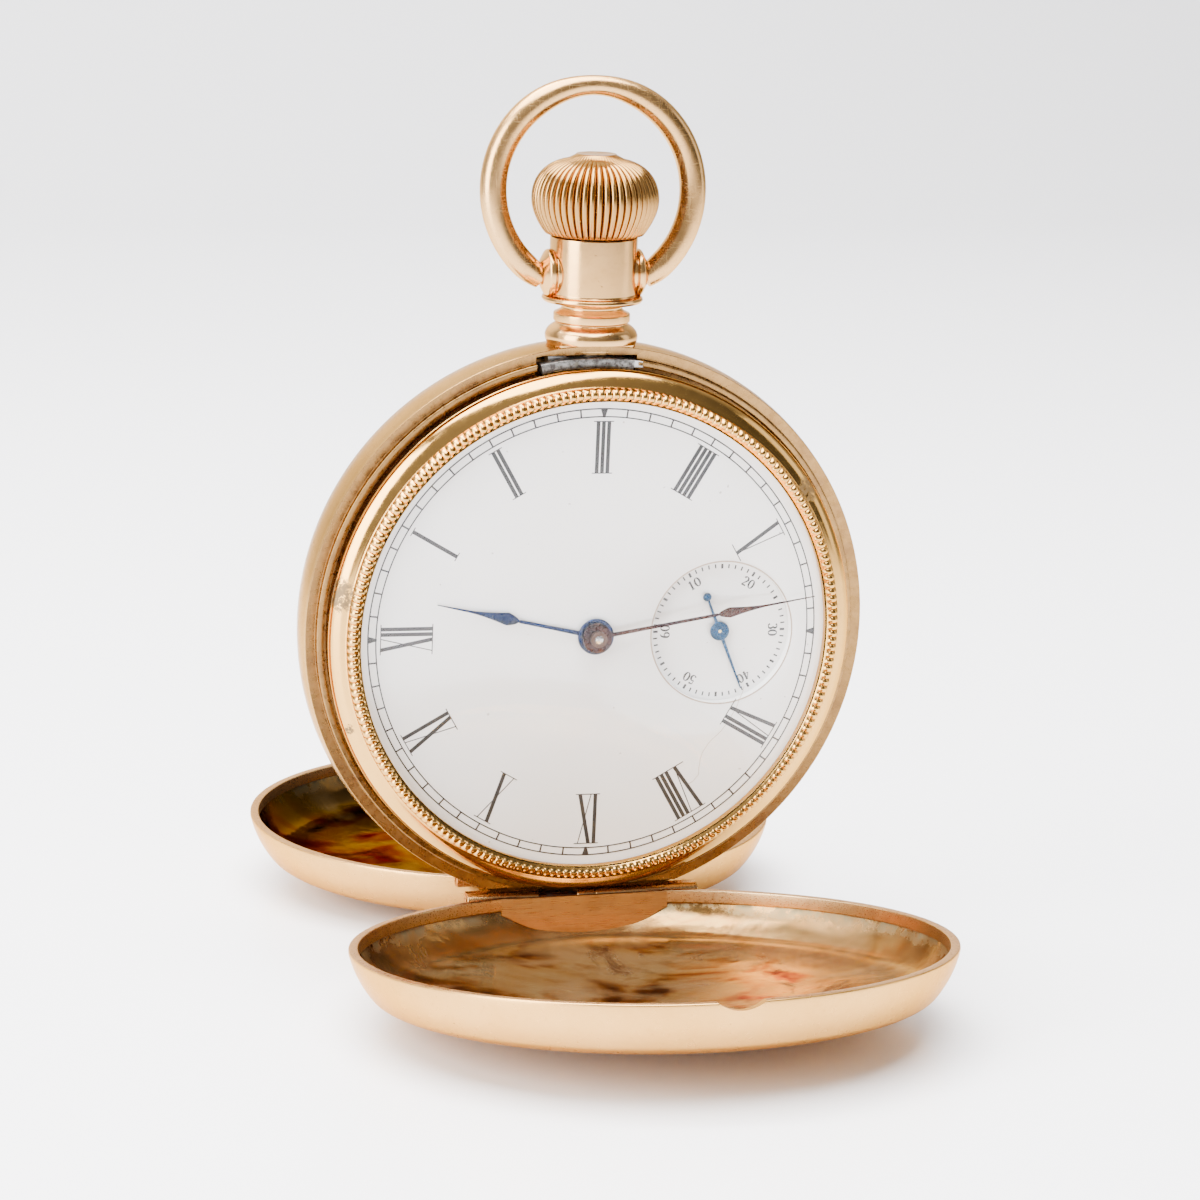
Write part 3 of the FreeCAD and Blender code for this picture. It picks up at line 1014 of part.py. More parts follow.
below = num("behind_works")
through = top_front - below
top = post(num("top_rim"), ORIGIN, num("top_back"), top_front)
top = top.cut(post(num("cut_radius"), BALANCE, below, top_front))
top = top.cut(Part.makeBox(num("top_gap_wide"), num("top_gap_long"), through,
                           Vec(BALANCE[0] - num("top_gap_wide") / 2,
                               BALANCE[1] - num("top_gap_long"), below)))
cock_gap = num("cock_gap")
top = top.cut(on_cock(post(cock_gap, (cock_long, 0), below, top_front).fuse(Part.makeBox(
    num("cock_gap_long"), 2 * cock_gap, through, Vec(cock_long - num("cock_gap_long"), -cock_gap, below)))))
top = top.cut(Part.makeBox(2 * num("wind_gap_half"), num("stem_relief_long"), through,
                           Vec(-num("wind_gap_half"), num("wind_gap_in"), below)))
top = top.cut(post(num("crown_wheel_recess"), CROWN_WHEEL, below, num("sunk_floor")))
top = top.cut(post(num("ratchet_recess"), BARREL, below, num("sunk_floor")))
top = top.cut(post(num("barrel_bearing"), BARREL, below, top_front))
top = top.cut(post(num("hub_post"), CROWN_WHEEL, below, top_front))
for spot in BEARINGS[1:]:
    top = top.cut(post(num("jewel"), spot, below, top_front))
top = top.cut(post(pivot * 2 + num("path_slack"), ORIGIN, below, top_front))
for spot in PILLARS:
    top = top.cut(post(num("screw_hole"), spot, below, top_front))
top = top.cut(post(num("click_post"), CLICK, below, below + num("click_hole_deep")))
shaped("top_plate", top.removeSplitter())


def screw(spot, face, length):
    """A slotted screw whose head lies behind face and whose body runs forward from it."""
    back = face - num("screw_head_high")
    width = 2 * num("screw_head") + num("slot_wide")
    head_part = post(num("screw_head"), spot, back, face)
    slot = Part.makeBox(width, num("slot_wide"), num("slot_deep"),
                        Vec(spot[0] - width / 2, spot[1] - num("slot_wide") / 2, back))
    return head_part.cut(slot).fuse(post(num("screw_body"), spot, face, face + length)).removeSplitter()


group("plate_screws", [screw(spot, num("top_back"), num("top_front") - num("top_back")) for spot in PILLARS])

# Jewels: pierced discs pressed in both plates.
jewels = []
for spot in BEARINGS[1:]:
    for low in (plate_back, top_front - num("jewel_thick")):
        stone = post(num("jewel"), spot, low, low + num("jewel_thick"))
        jewels.append(stone.cut(post(pivot + num("pivot_slack"), spot, low, low + num("jewel_thick"))))
group("train_jewels", jewels)

# ------------------------------------------------------------------ escapement
fork_deg = math.degrees(fork_way)
fork_thick = num("fork_thick")
fork_low = num("fork_low")
reach = math.hypot(BALANCE[0] - FORK[0], BALANCE[1] - FORK[1])
# Half outline of the lever from its root to the two horns, as distance back from the balance
# centre and half width.
HORNS = ((1.9, 0.2), (1.75, 0.55), (1.3, 0.55), (1.35, 0.25), (1.6, 0.25))
lever_half = [(-0.25, 0.35)] + [(reach - back, half) for back, half in HORNS]
lever_edge = [Vec(s, -w, 0) for s, w in lever_half] + [Vec(s, w, 0) for s, w in reversed(lever_half)]
lever = Part.Face(Part.makePolygon(lever_edge + lever_edge[:1])).extrude(Vec(0, 0, fork_thick))
arm_end = num("pallet_reach")
arm_edge = [Vec(-0.1, -arm_end, 0), Vec(0.35, -arm_end, 0), Vec(0.5, 0, 0), Vec(0.35, arm_end, 0),
            Vec(-0.1, arm_end, 0), Vec(0, 0, 0)]
arms = Part.Face(Part.makePolygon(arm_edge + arm_edge[:1])).extrude(Vec(0, 0, fork_thick))
fork = lever.multiFuse([arms, shaft(num("fork_hub"), 0, fork_thick)]).removeSplitter()
fork.translate(Vec(0, 0, fork_low))
fork = fork.multiFuse([shaft(num("fork_arbor"), fork_low, num("fork_top")),
                       shaft(num("fork_pivot"), num("fork_pivot_low"), num("fork_pivot_top"))])
fork = fork.removeSplitter()


def on_fork(solid, degrees=fork_deg):
    """Carry a solid laid out about the fork's pivot to its place."""
    solid.rotate(ORIGIN, Z_AXIS, degrees)
    solid.translate(Vec(FORK[0], FORK[1], 0))
    return solid


shaped("pallet_fork", on_fork(fork))
group("pallet_stones", [on_fork(Part.makeBox(
    num("stone_long"), num("stone_wide"), fork_thick,
    Vec(-num("stone_back"), side * num("stone_at") - num("stone_wide") / 2, fork_low))) for side in (-1, 1)])

# Pallet bridge: a thin bar over the fork with its foot on the pillar plate.
bridge_low = num("bridge_low")
bridge = Part.makeBox(num("bridge_long"), num("bridge_wide"), num("bridge_thick"),
                      Vec(num("bridge_end"), -num("bridge_wide") / 2, bridge_low))
bridge_foot = post(num("bridge_foot"), (num("bridge_foot_at"), 0), bridge_low + num("bridge_thick"),
                   plate_back)
bridge = bridge.fuse(bridge_foot).removeSplitter()
bridge = bridge.cut(shaft(num("bridge_bore"), bridge_low, bridge_low + num("bridge_thick")))
shaped("pallet_bridge", on_fork(bridge, fork_deg + 90))

# Balance: rim with timing screws, two arms, staff; roller with its jewel pin.
balance_back, balance_front = num("balance_back"), num("balance_front")
balance_out = num("balance_radius") - num("rim_inset")
rim = shaft(balance_out, balance_back, balance_front)
rim = rim.cut(spoked(num("balance_radius"), balance_out - num("balance_rim"), num("balance_hub"),
                     balance_back, balance_front, 2, num("balance_arm")))
parts = [rim, shaft(num("staff"), num("staff_low"), num("staff_top")),
         shaft(num("staff_pivot"), num("staff_pivot_low"), num("staff_pivot_top"))]
timing_screws = int(num("timing_screws"))
for k in range(timing_screws):
    knob = Part.makeCylinder(num("timing_radius"), num("timing_long"),
                             Vec(num("balance_radius") - num("timing_inset"), 0, num("timing_z")), X_AXIS)
    knob.rotate(ORIGIN, Z_AXIS, k * 360.0 / timing_screws + num("timing_turn"))
    parts.append(knob)
shaped("balance_wheel", fused(parts, BALANCE[0], BALANCE[1]))
roller = shaft(num("roller"), num("roller_back"), num("roller_front"))
roller = roller.cut(shaft(num("staff"), num("roller_back"), num("roller_front")))
roller.translate(Vec(BALANCE[0], BALANCE[1], 0))
shaped("roller_table", roller)
impulse_at = num("impulse_at")
impulse_spot = (BALANCE[0] - impulse_at * math.cos(fork_way), BALANCE[1] - impulse_at * math.sin(fork_way))
shaped("roller_jewel", post(num("impulse_radius"), impulse_spot, num("roller_front"),
                            num("roller_front") + num("impulse_high")))

# Hairspring, balance cock, regulator.
shaped("hairspring", coil(int(num("hair_turns")), num("hair_start"), num("hair_grow"), num("hair_thick"),
                          num("hair_high"), num("hair_low"), BALANCE))
cock_low = num("cock_low")
cock_high = cock_low + num("cock_thick")
end, foot = num("cock_end"), num("cock_foot")
cock_edge = [Vec(0, -end, 0), Vec(cock_long, -foot, 0), Vec(cock_long, foot, 0), Vec(0, end, 0)]
cock = Part.Face(Part.makePolygon(cock_edge + cock_edge[:1])).extrude(Vec(0, 0, num("cock_thick")))
cock.translate(Vec(0, 0, cock_low))
cock = cock.multiFuse([shaft(end, cock_low, cock_high), post(foot, (cock_long, 0), cock_low, cock_high),
                       post(num("cock_post"), (cock_long, 0), cock_low, plate_back)]).removeSplitter()
cock = cock.cut(shaft(num("cap_radius"), cock_low, cock_low + num("cap_deep")))
cock = cock.cut(shaft(num("cock_pivot_hole"), cock_low, cock_high))
cock = cock.cut(post(num("screw_body"), (cock_long, 0), cock_low, cock_low + num("cock_screw_long")))
shaped("balance_cock", on_cock(cock))
shaped("cock_screw", screw(COCK_FOOT, cock_low, num("cock_screw_long")))
shaped("balance_cap_jewel", post(num("cap_radius"), BALANCE, cock_low, cock_low + num("cap_thick")))
pointer_root = num("pointer_ring") - 0.3
pointer_long = num("pointer_long")
pointer_thick = num("pointer_thick")
pointer_edge = [Vec(pointer_root, -0.3, 0), Vec(pointer_long, -0.12, 0), Vec(pointer_long, 0.12, 0),
                Vec(pointer_root, 0.3, 0)]
pointer = Part.Face(Part.makePolygon(pointer_edge + pointer_edge[:1])).extrude(Vec(0, 0, pointer_thick))
pointer = pointer.fuse(shaft(num("pointer_ring"), 0, pointer_thick))
pointer = pointer.cut(shaft(num("pointer_bore"), 0, pointer_thick)).removeSplitter()
pointer.translate(Vec(0, 0, num("pointer_low")))
shaped("regulator", on_cock(pointer))

# ------------------------------------------------------------------ write the parts
NODES = [
    "case_centre", "pendant", "bow", "crown", "crown_stem", "winding_arbor", "winding_pinion",
    "castle_wheel", "front_lid", "rear_lid", "front_hinge_pin", "rear_hinge_pin", "dust_cover",
    "dust_cover_pin", "lock_spring", "lift_spring", "bezel", "crystal", "dial", "seconds_dial",
    "hour_hand", "minute_hand", "seconds_hand", "centre_wheel", "third_wheel", "fourth_wheel",
    "escape_wheel", "mainspring_barrel", "barrel_arbor", "mainspring", "crown_wheel",
    "crown_wheel_screw", "ratchet_wheel", "click", "click_screw", "cannon_pinion", "minute_wheel",
    "hour_wheel", "pillar_plate", "pillars", "case_screws", "top_plate", "plate_screws",
    "train_jewels", "pallet_fork", "pallet_stones", "pallet_bridge", "balance_wheel",
    "roller_table", "roller_jewel", "hairspring", "balance_cock", "cock_screw",
    "balance_cap_jewel", "regulator"]

doc.recompute()
for item in doc.Objects:
    if "Invalid" in item.State or "Error" in item.State:
        raise RuntimeError("object %s is %s" % (item.Label, item.State))
for node in NODES:
    owners = [o for o in doc.Objects if o.Label == node and hasattr(o, "Shape")]
    shape = owners[0].Shape
    if shape.isNull() or not shape.isValid():
        raise RuntimeError("bad shape in %s" % node)
    shape.exportStep("parts/%s.step" % node)
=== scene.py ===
import math
import random
import bmesh
import bpy
from mathutils import Matrix, Vector


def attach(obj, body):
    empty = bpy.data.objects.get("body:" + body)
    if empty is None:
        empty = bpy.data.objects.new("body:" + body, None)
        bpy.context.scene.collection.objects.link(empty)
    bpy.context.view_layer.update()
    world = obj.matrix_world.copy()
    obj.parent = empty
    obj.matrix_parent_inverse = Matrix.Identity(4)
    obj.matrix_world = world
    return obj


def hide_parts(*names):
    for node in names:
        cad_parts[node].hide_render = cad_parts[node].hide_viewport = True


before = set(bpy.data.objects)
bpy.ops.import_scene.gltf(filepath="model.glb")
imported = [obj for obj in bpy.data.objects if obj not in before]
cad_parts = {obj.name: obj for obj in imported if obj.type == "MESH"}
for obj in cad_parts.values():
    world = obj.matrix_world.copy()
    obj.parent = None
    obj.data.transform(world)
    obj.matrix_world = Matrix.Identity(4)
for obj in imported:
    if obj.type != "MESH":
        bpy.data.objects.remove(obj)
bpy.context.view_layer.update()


def shifted(x, y, z):
    return Matrix.Translation((x, y, z))


def turned(degrees, axis):
    return Matrix.Rotation(math.radians(degrees), 4, axis)


# Watch frame: X right, Y toward the pendant, Z out of the dial, millimetres, dial face at z = 0.
# STAND takes it to the part's frame: the watch leans forward a little over its open front lid.
MM = 0.001
LEAN = 5.142
STAND = shifted(0, -6.633 * MM, 31.382 * MM) @ turned(90 + LEAN, "X") @ Matrix.Scale(MM, 4)
STEM_Z = -4.65
STEM_LINE = STAND @ shifted(0, 0, STEM_Z) @ turned(-90, "X")
BOW_PIVOT = shifted(0, 33.4, STEM_Z)
FRONT_HINGE = (-26.19, -1.94)
REAR_HINGE = (-25.7, -7.0)
CREASE = 32
NEARLY_STRAIGHT = math.radians(178)
JITTER = random.Random(7)


# ---- mesh helpers
def new_object(name, verts, faces, place):
    mesh = bpy.data.meshes.new(name)
    mesh.from_pydata([tuple(v) for v in verts], [], faces)
    item = bpy.data.objects.new(name, mesh)
    bpy.context.scene.collection.objects.link(item)
    item.matrix_world = place
    return item


def piece(name, verts, faces, material, body, slot, place=STAND, stands_for=(), sharp=CREASE):
    """A finished mesh that rides on a body; sharp is the angle above which its edges show."""
    item = new_object(name, verts, faces, place)
    mesh = item.data
    mesh.validate()
    face_outward(mesh)
    mesh.materials.append(material)
    mesh.shade_smooth()
    mesh.set_sharp_from_angle(angle=math.radians(sharp))
    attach(item, body)
    if stands_for:
        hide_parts(*stands_for)
    return item


def face_outward(mesh):
    """Turns every face of the closed shells in a mesh outward; open sheets are left as drawn."""
    work = bmesh.new()
    work.from_mesh(mesh)
    if not any(edge.is_boundary for edge in work.edges):
        bmesh.ops.recalc_face_normals(work, faces=work.faces)
    work.to_mesh(mesh)
    work.free()


def soften(corners, steps=4, closed=True):
    """Corner list (r, z, fillet radius) to points, each corner rounded by its own fillet."""
    points = []
    total = len(corners)
    for i, corner in enumerate(corners):
        here = Vector(corner[:2])
        fillet = corner[2] if len(corner) > 2 else 0.0
        before = Vector(corners[i - 1][:2]) - here
        after = Vector(corners[(i + 1) % total][:2]) - here
        end = not closed and i in (0, total - 1)
        if fillet <= 0 or end or before.angle(after) > NEARLY_STRAIGHT:
            points.append(here)
            continue
        half = before.angle(after) / 2
        back = min(fillet / math.tan(half), before.length * 0.48, after.length * 0.48)
        first = here + before.normalized() * back
        last = here + after.normalized() * back
        for k in range(steps + 1):
            t = k / steps
            points.append(first * (1 - t) ** 2 + here * (2 * t * (1 - t)) + last * t ** 2)
    return points


def arc(start, stop, bulge, steps):
    """Points from start to stop on an arc that rises by bulge to the left of the chord."""
    a, b = Vector(start), Vector(stop)
    chord = b - a
    side = Vector((-chord.y, chord.x)).normalized()
    out = []
    for k in range(steps + 1):
        t = k / steps
        out.append(tuple(a + chord * t + side * (4 * bulge * t * (1 - t))))
    return out


def quads(count, pairs, closed=True):
    """Faces between pairs of rows, each a row of count points, closed into a ring or open."""
    faces = []
    for i, j in pairs:
        for k in range(count if closed else count - 1):
            m = (k + 1) % count
            faces.append((i * count + k, j * count + k, j * count + m, i * count + m))
    return faces


def lathe(points, steps, closed=True, wave=None, start=0.0, sweep=360.0):
    """Turns (r, z) points about Z. wave(angle, index) scales r. A sweep under 360 gets end caps."""
    full = sweep >= 360.0
    columns = steps if full else steps + 1
    verts = []
    for i in range(columns):
        angle = math.radians(start + sweep * i / steps)
        for k, p in enumerate(points):
            radius = p[0] * (wave(angle, k) if wave else 1.0)
            verts.append((radius * math.cos(angle), radius * math.sin(angle), p[1]))
    count = len(points)
    faces = quads(count, [(i, (i + 1) % columns) for i in range(steps)], closed)
    if not full and closed:
        faces.append(tuple(range(count)))
        faces.append(tuple(reversed(range(steps * count, steps * count + count))))
    return merge_poles(verts, faces)


def merge_poles(verts, faces):
    """Collapses points that lie on the axis, so a dome closes in one vertex."""
    poles = {}
    index = []
    out = []
    for v in verts:
        height = round(v[2], 5) if math.hypot(v[0], v[1]) < 1e-6 else None
        if height in poles:
            index.append(poles[height])
            continue
        if height is not None:
            poles[height] = len(out)
        index.append(len(out))
        out.append(v)
    rings = [tuple(dict.fromkeys(index[i] for i in face)) for face in faces]
    return out, [ring for ring in rings if len(ring) > 2]


def join(parts):
    verts = []
    faces = []
    for part_verts, part_faces in parts:
        base = len(verts)
        verts += list(part_verts)
        faces += [tuple(i + base for i in face) for face in part_faces]
    return verts, faces


def moved(part, place):
    return [tuple(place @ Vector(v)) for v in part[0]], part[1]


def carve(item, tool_mesh, place=STAND):
    """Cuts a closed mesh from a piece and applies it."""
    tool = new_object("tool", *tool_mesh, place)
    bpy.context.view_layer.update()
    change = item.modifiers.new("carve", "BOOLEAN")
    change.operation = "DIFFERENCE"
    change.solver = "EXACT"
    change.object = tool
    graph = bpy.context.evaluated_depsgraph_get()
    result = bpy.data.meshes.new_from_object(item.evaluated_get(graph))
    item.modifiers.clear()
    result.name = item.data.name
    item.data = result
    bpy.data.objects.remove(tool)
    item.data.shade_smooth()
    item.data.set_sharp_from_angle(angle=math.radians(CREASE))


def bevel(item, width):
    change = item.modifiers.new("edge", "BEVEL")
    change.width = width
    change.segments = 2
    change.limit_method = "ANGLE"


def slab(low, high):
    """A box between two corners."""
    (x0, y0, z0), (x1, y1, z1) = low, high
    verts = [(x0, y0, z0), (x1, y0, z0), (x1, y1, z0), (x0, y1, z0),
             (x0, y0, z1), (x1, y0, z1), (x1, y1, z1), (x0, y1, z1)]
    faces = [(3, 2, 1, 0), (4, 5, 6, 7), (0, 1, 5, 4), (1, 2, 6, 5), (2, 3, 7, 6), (3, 0, 4, 7)]
    return verts, faces


def tube(path, radii, sides):
    """A bar along a path in the XY plane, with an (inner, outer) radius at each point."""
    verts = []
    faces = []
    for i, here in enumerate(path):
        ahead = Vector(path[min(i + 1, len(path) - 1)]) - Vector(path[max(i - 1, 0)])
        ahead.normalize()
        side = Vector((ahead.y, -ahead.x, 0))
        inner, outer = radii[i]
        for k in range(sides):
            angle = 2 * math.pi * k / sides
            reach = outer if math.cos(angle) > 0 else inner
            height = Vector((0, 0, math.sin(angle) * 0.5 * (inner + outer)))
            verts.append(tuple(Vector(here) + side * (reach * math.cos(angle)) + height))
    for i in range(len(path) - 1):
        for k in range(sides):
            m = (k + 1) % sides
            faces.append((i * sides + k, i * sides + m, (i + 1) * sides + m, (i + 1) * sides + k))
    faces.append(tuple(reversed(range(sides))))
    faces.append(tuple(range((len(path) - 1) * sides, len(path) * sides)))
    return verts, faces


def knuckle(left, right, y, z, bore=0.40, outer=0.72, fillets=(0.03, 0.10), sides=40):
    """A rolled hinge tube along X, centred on (y, z)."""
    small, large = fillets
    ring = soften([(bore, left, small), (outer, left, large), (outer, right, large), (bore, right, small)], 3)
    return moved(lathe(ring, sides), shifted(0, y, z) @ turned(90, "Y"))


# ---- materials
class Paint:
    """A small node builder for one Principled material."""

    def __init__(self, name):
        self.material = bpy.data.materials.new(name)
        self.material.use_nodes = True
        self.tree = self.material.node_tree
        self.shader = self.tree.nodes["Principled BSDF"]
        self.place = self.add("ShaderNodeTexCoord").outputs["Object"]

    def add(self, kind, *values, **inputs):
        """A new node, its sockets fed in order or by name."""
        node = self.tree.nodes.new(kind)
        for socket, value in zip(node.inputs, values):
            self.feed(socket, value)
        for key, value in inputs.items():
            self.feed(node.inputs[key.replace("_", " ")], value)
        return node

    def feed(self, socket, value):
        if hasattr(value, "is_output"):
            self.tree.links.new(value, socket)
        else:
            socket.default_value = value

    def math(self, kind, a, b=0.0, clamp=False):
        node = self.add("ShaderNodeMath", a, b)
        node.operation = kind
        node.use_clamp = clamp
        return node.outputs[0]

    def times(self, a, b, clamp=False):
        return self.math("MULTIPLY", a, b, clamp)

    def plus(self, a, b, clamp=False):
        return self.math("ADD", a, b, clamp)

    def over(self, under, mask, share, colour):
        """Lays a colour over another where mask is 1, as strongly as share."""
        return self.mix(self.times(mask, share), under, colour)

    def noise(self, scale, detail, rough, stretch=None, shift=None, lumpy=0.0):
        where = self.place
        if stretch or shift:
            where = self.add("ShaderNodeMapping", Vector=where, Scale=stretch or (1, 1, 1),
                             Location=shift or (0, 0, 0)).outputs[0]
        return self.add("ShaderNodeTexNoise", Vector=where, Scale=scale, Detail=detail, Roughness=rough,
                        Distortion=lumpy).outputs["Fac"]

    def ramp(self, value, stops):
        node = self.add("ShaderNodeValToRGB", value)
        band = node.color_ramp
        band.elements[0].position, band.elements[0].color = stops[0][0], tone(stops[0][1])
        band.elements[1].position, band.elements[1].color = stops[-1][0], tone(stops[-1][1])
        for at, colour in stops[1:-1]:
            band.elements.new(at).color = tone(colour)
        return node.outputs[0]

    def mix(self, share, a, b):
        node = self.tree.nodes.new("ShaderNodeMix")
        node.data_type = "RGBA"
        self.feed(node.inputs[0], share)
        self.feed(node.inputs[6], tone(a) if isinstance(a, tuple) else a)
        self.feed(node.inputs[7], tone(b) if isinstance(b, tuple) else b)
        return node.outputs[2]

    def part(self, axis):
        return self.add("ShaderNodeSeparateXYZ", self.place).outputs[axis]

    def radius(self):
        x, y = self.part("X"), self.part("Y")
        return self.math("SQRT", self.plus(self.times(x, x), self.times(y, y)))

    def near(self, centre, size):
        """1 at a point of the piece's own frame, falling to 0 at distance size."""
        node = self.add("ShaderNodeVectorMath", self.place, centre)
        node.operation = "DISTANCE"
        return self.between(node.outputs["Value"], size, 0.0)

    def between(self, value, low, high):
        """0 at low, 1 at high, held outside."""
        return self.add("ShaderNodeMapRange", value, low, high).outputs[0]

    def bump(self, height, distance, strength, over=None):
        node = self.add("ShaderNodeBump", Strength=strength, Distance=distance * MM, Height=height)
        if over is not None:
            self.feed(node.inputs["Normal"], over)
        return node.outputs[0]

    def done(self, colour, rough, normal=None, metal=1.0, **settings):
        self.feed(self.shader.inputs["Base Color"], tone(colour) if isinstance(colour, tuple) else colour)
        self.feed(self.shader.inputs["Roughness"], rough)
        if normal is not None:
            self.feed(self.shader.inputs["Normal"], normal)
        self.shader.inputs["Metallic"].default_value = metal
        for key, value in settings.items():
            self.shader.inputs[key.replace("_", " ")].default_value = value
        return self.material


def tone(colour):
    return tuple(colour) + (1.0,) if len(colour) == 3 else colour


GOLD_SHADOW = (0.38, 0.185, 0.05)
DARK = (0.05, 0.022, 0.012)
DARK_PATCH = (0.10, 0.075, 0.05)
GREY_GREEN = (0.17, 0.16, 0.10)
GOLD_EDGE = (0.82, 0.63, 0.44, 1.0)


def worn_gold(name, base, pale, rough, scratch, spots=()):
    """Satin gold with fine random scratches, specks and, at spots (centre, size, darkness), darker, duller
    patches.
    """
    p = Paint(name)
    cloud = p.noise(0.09, 5.0, 0.6)
    fine = p.noise(1.3, 6.0, 0.65)
    colour = p.mix(p.between(cloud, 0.35, 0.7), base, pale)
    colour = p.over(colour, p.between(fine, 0.58, 0.75), 0.25, GOLD_SHADOW)
    specks = p.between(p.noise(3.1, 3.0, 0.5, shift=(4, 9, 2)), 0.735, 0.78)
    colour = p.over(colour, specks, 0.7, DARK)
    dull = p.times(specks, 0.35)
    for centre, size, dark in spots:
        ragged = p.between(p.noise(2.2, 5.0, 0.7), 0.36, 0.56)
        patch = p.between(p.times(p.near(centre, size), ragged, clamp=True), 0.12, 0.4)
        colour = p.over(colour, patch, dark, DARK_PATCH)
        dull = p.plus(dull, p.times(patch, 0.4), clamp=True)
    scratches_a = p.noise(7.0, 2.0, 0.5, stretch=(1.0, 0.06, 0.3), shift=(1, 2, 3))
    scratches_b = p.noise(7.0, 2.0, 0.5, stretch=(0.07, 1.0, 0.4), shift=(8, 1, 5))
    lines = p.math("MAXIMUM", p.between(scratches_a, 0.62, 0.70), p.between(scratches_b, 0.62, 0.70))
    gloss = p.plus(p.times(p.between(fine, 0.3, 0.7), 0.10), p.times(lines, 0.12 * scratch))
    gloss = p.plus(p.plus(gloss, rough - 0.05), dull, clamp=True)
    dents = p.bump(p.noise(0.22, 2.0, 0.4, shift=(3, 1, 7)), 0.12, 0.35)
    normal = p.bump(lines, 0.004, 0.35 * scratch, over=dents)
    return p.done(colour, gloss, normal, Specular_Tint=GOLD_EDGE)


# Where the inside of a lid darkens: the radii of the painted shade at its wall and skirt, and the depths of
# its grey-green rim.
LID_WALL_SHADE = (21.5, 24.6)
LID_SKIRT_SHADE = (24.2, 24.9)
LID_RIM = (2.6, 1.5)


def tarnished_gold(name, shade, metal, edge):
    """The inside of a lid: once polished, now tarnished and streaked orange, cream and brown, partly as
    painted reflections of the case and the room; grey-green at the rim.
    """
    p = Paint(name)
    radius = p.radius()
    streak = p.noise(0.055, 5.0, 0.58, stretch=(1.0, 1.25, 1.0), lumpy=0.9)
    swirl = p.noise(0.10, 4.0, 0.55, stretch=(1.0, 1.5, 1.0), shift=(7, 3, 1), lumpy=0.6)

    def shaded(*rgb):
        return tuple(c * shade for c in rgb)

    # Streaks of orange, cream and brown: partly tarnish, partly painted reflections of the case and the room.
    colour = p.ramp(streak, [(0.38, shaded(0.08, 0.028, 0.006)), (0.44, shaded(0.34, 0.13, 0.024)),
                             (0.48, shaded(0.56, 0.32, 0.10)), (0.56, shaded(0.66, 0.44, 0.19)),
                             (0.61, shaded(0.42, 0.18, 0.034)), (0.66, shaded(0.09, 0.034, 0.007))])
    # Cream patches: painted reflections of the white floor.
    colour = p.mix(p.between(swirl, 0.52, 0.66), colour, shaded(0.62, 0.40, 0.18))
    blots = p.noise(0.10, 6.0, 0.66, stretch=(1.0, 1.2, 1.0), shift=(2, 8, 4), lumpy=1.0)
    stain = p.between(blots, 0.57, 0.66)
    colour = p.over(colour, stain, 0.85, shaded(0.10, 0.040, 0.014))
    # Painted shade: darker toward the lid's wall and its skirt.
    colour = p.over(colour, p.between(radius, *LID_WALL_SHADE), 0.6, shaded(0.30, 0.165, 0.050))
    colour = p.over(colour, p.between(radius, *LID_SKIRT_SHADE), 0.5, shaded(0.16, 0.085, 0.026))
    rim = p.times(p.between(p.part("Z"), *LID_RIM), p.between(p.noise(0.5, 6.0, 0.7), 0.40, 0.60))
    colour = p.over(colour, rim, 0.75, shaded(*GREY_GREEN))
    colour = p.over(colour, p.between(p.noise(1.9, 4.0, 0.6, shift=(5, 5, 5)), 0.70, 0.74), 0.85, DARK)
    gloss = p.plus(p.times(p.between(swirl, 0.35, 0.7), 0.16), 0.07)
    gloss = p.plus(gloss, p.plus(p.times(rim, 0.4), p.times(stain, 0.18)), clamp=True)
    waves = p.bump(p.noise(0.13, 3.0, 0.5, lumpy=0.6), 0.35, 0.30)
    normal = p.bump(p.noise(2.5, 4.0, 0.6), 0.006, 0.25, over=waves)
    return p.done(colour, gloss, normal, metal=metal, Specular_Tint=edge)


def brushed(name, base, other, rough, along, dirt, scale=9.0, grain=0.35, edge=(1.0, 1.0, 1.0, 1.0)):
    """Metal finished in one direction, with dirt in its low spots."""
    p = Paint(name)
    lines = p.noise(scale, 3.0, 0.6, stretch=along)
    cloud = p.noise(0.35, 5.0, 0.6, shift=(2, 4, 6))
    colour = p.mix(p.between(lines, 0.35, 0.65), base, other)
    colour = p.over(colour, p.between(cloud, 0.52, 0.68), dirt, (0.12, 0.06, 0.03))
    gloss = p.plus(p.times(p.between(lines, 0.3, 0.7), 0.14), rough)
    return p.done(colour, gloss, p.bump(lines, 0.006, grain), Specular_Tint=edge)


def rusted_steel(name, base, rust, share):
    p = Paint(name)
    pits = p.noise(2.2, 6.0, 0.72)
    cloud = p.noise(0.8, 5.0, 0.65, shift=(3, 3, 3))
    colour = p.mix(p.between(pits, 0.40, 0.60), (0.10, 0.09, 0.085), base)
    colour = p.mix(p.between(cloud, 0.62 - share * 0.4, 0.72 - share * 0.3), colour, rust)
    gloss = p.plus(p.times(p.between(pits, 0.6, 0.4), 0.35), 0.28)
    return p.done(colour, gloss, p.bump(pits, 0.03, 0.6))


def blued(name, base, other):
    p = Paint(name)
    cloud = p.noise(0.7, 4.0, 0.6)
    colour = p.mix(p.between(cloud, 0.40, 0.62), base, other)
    gloss = p.plus(p.times(p.noise(3.0, 3.0, 0.6), 0.2), 0.18)
    return p.done(colour, gloss, p.bump(p.noise(6.0, 3.0, 0.5), 0.003, 0.3))


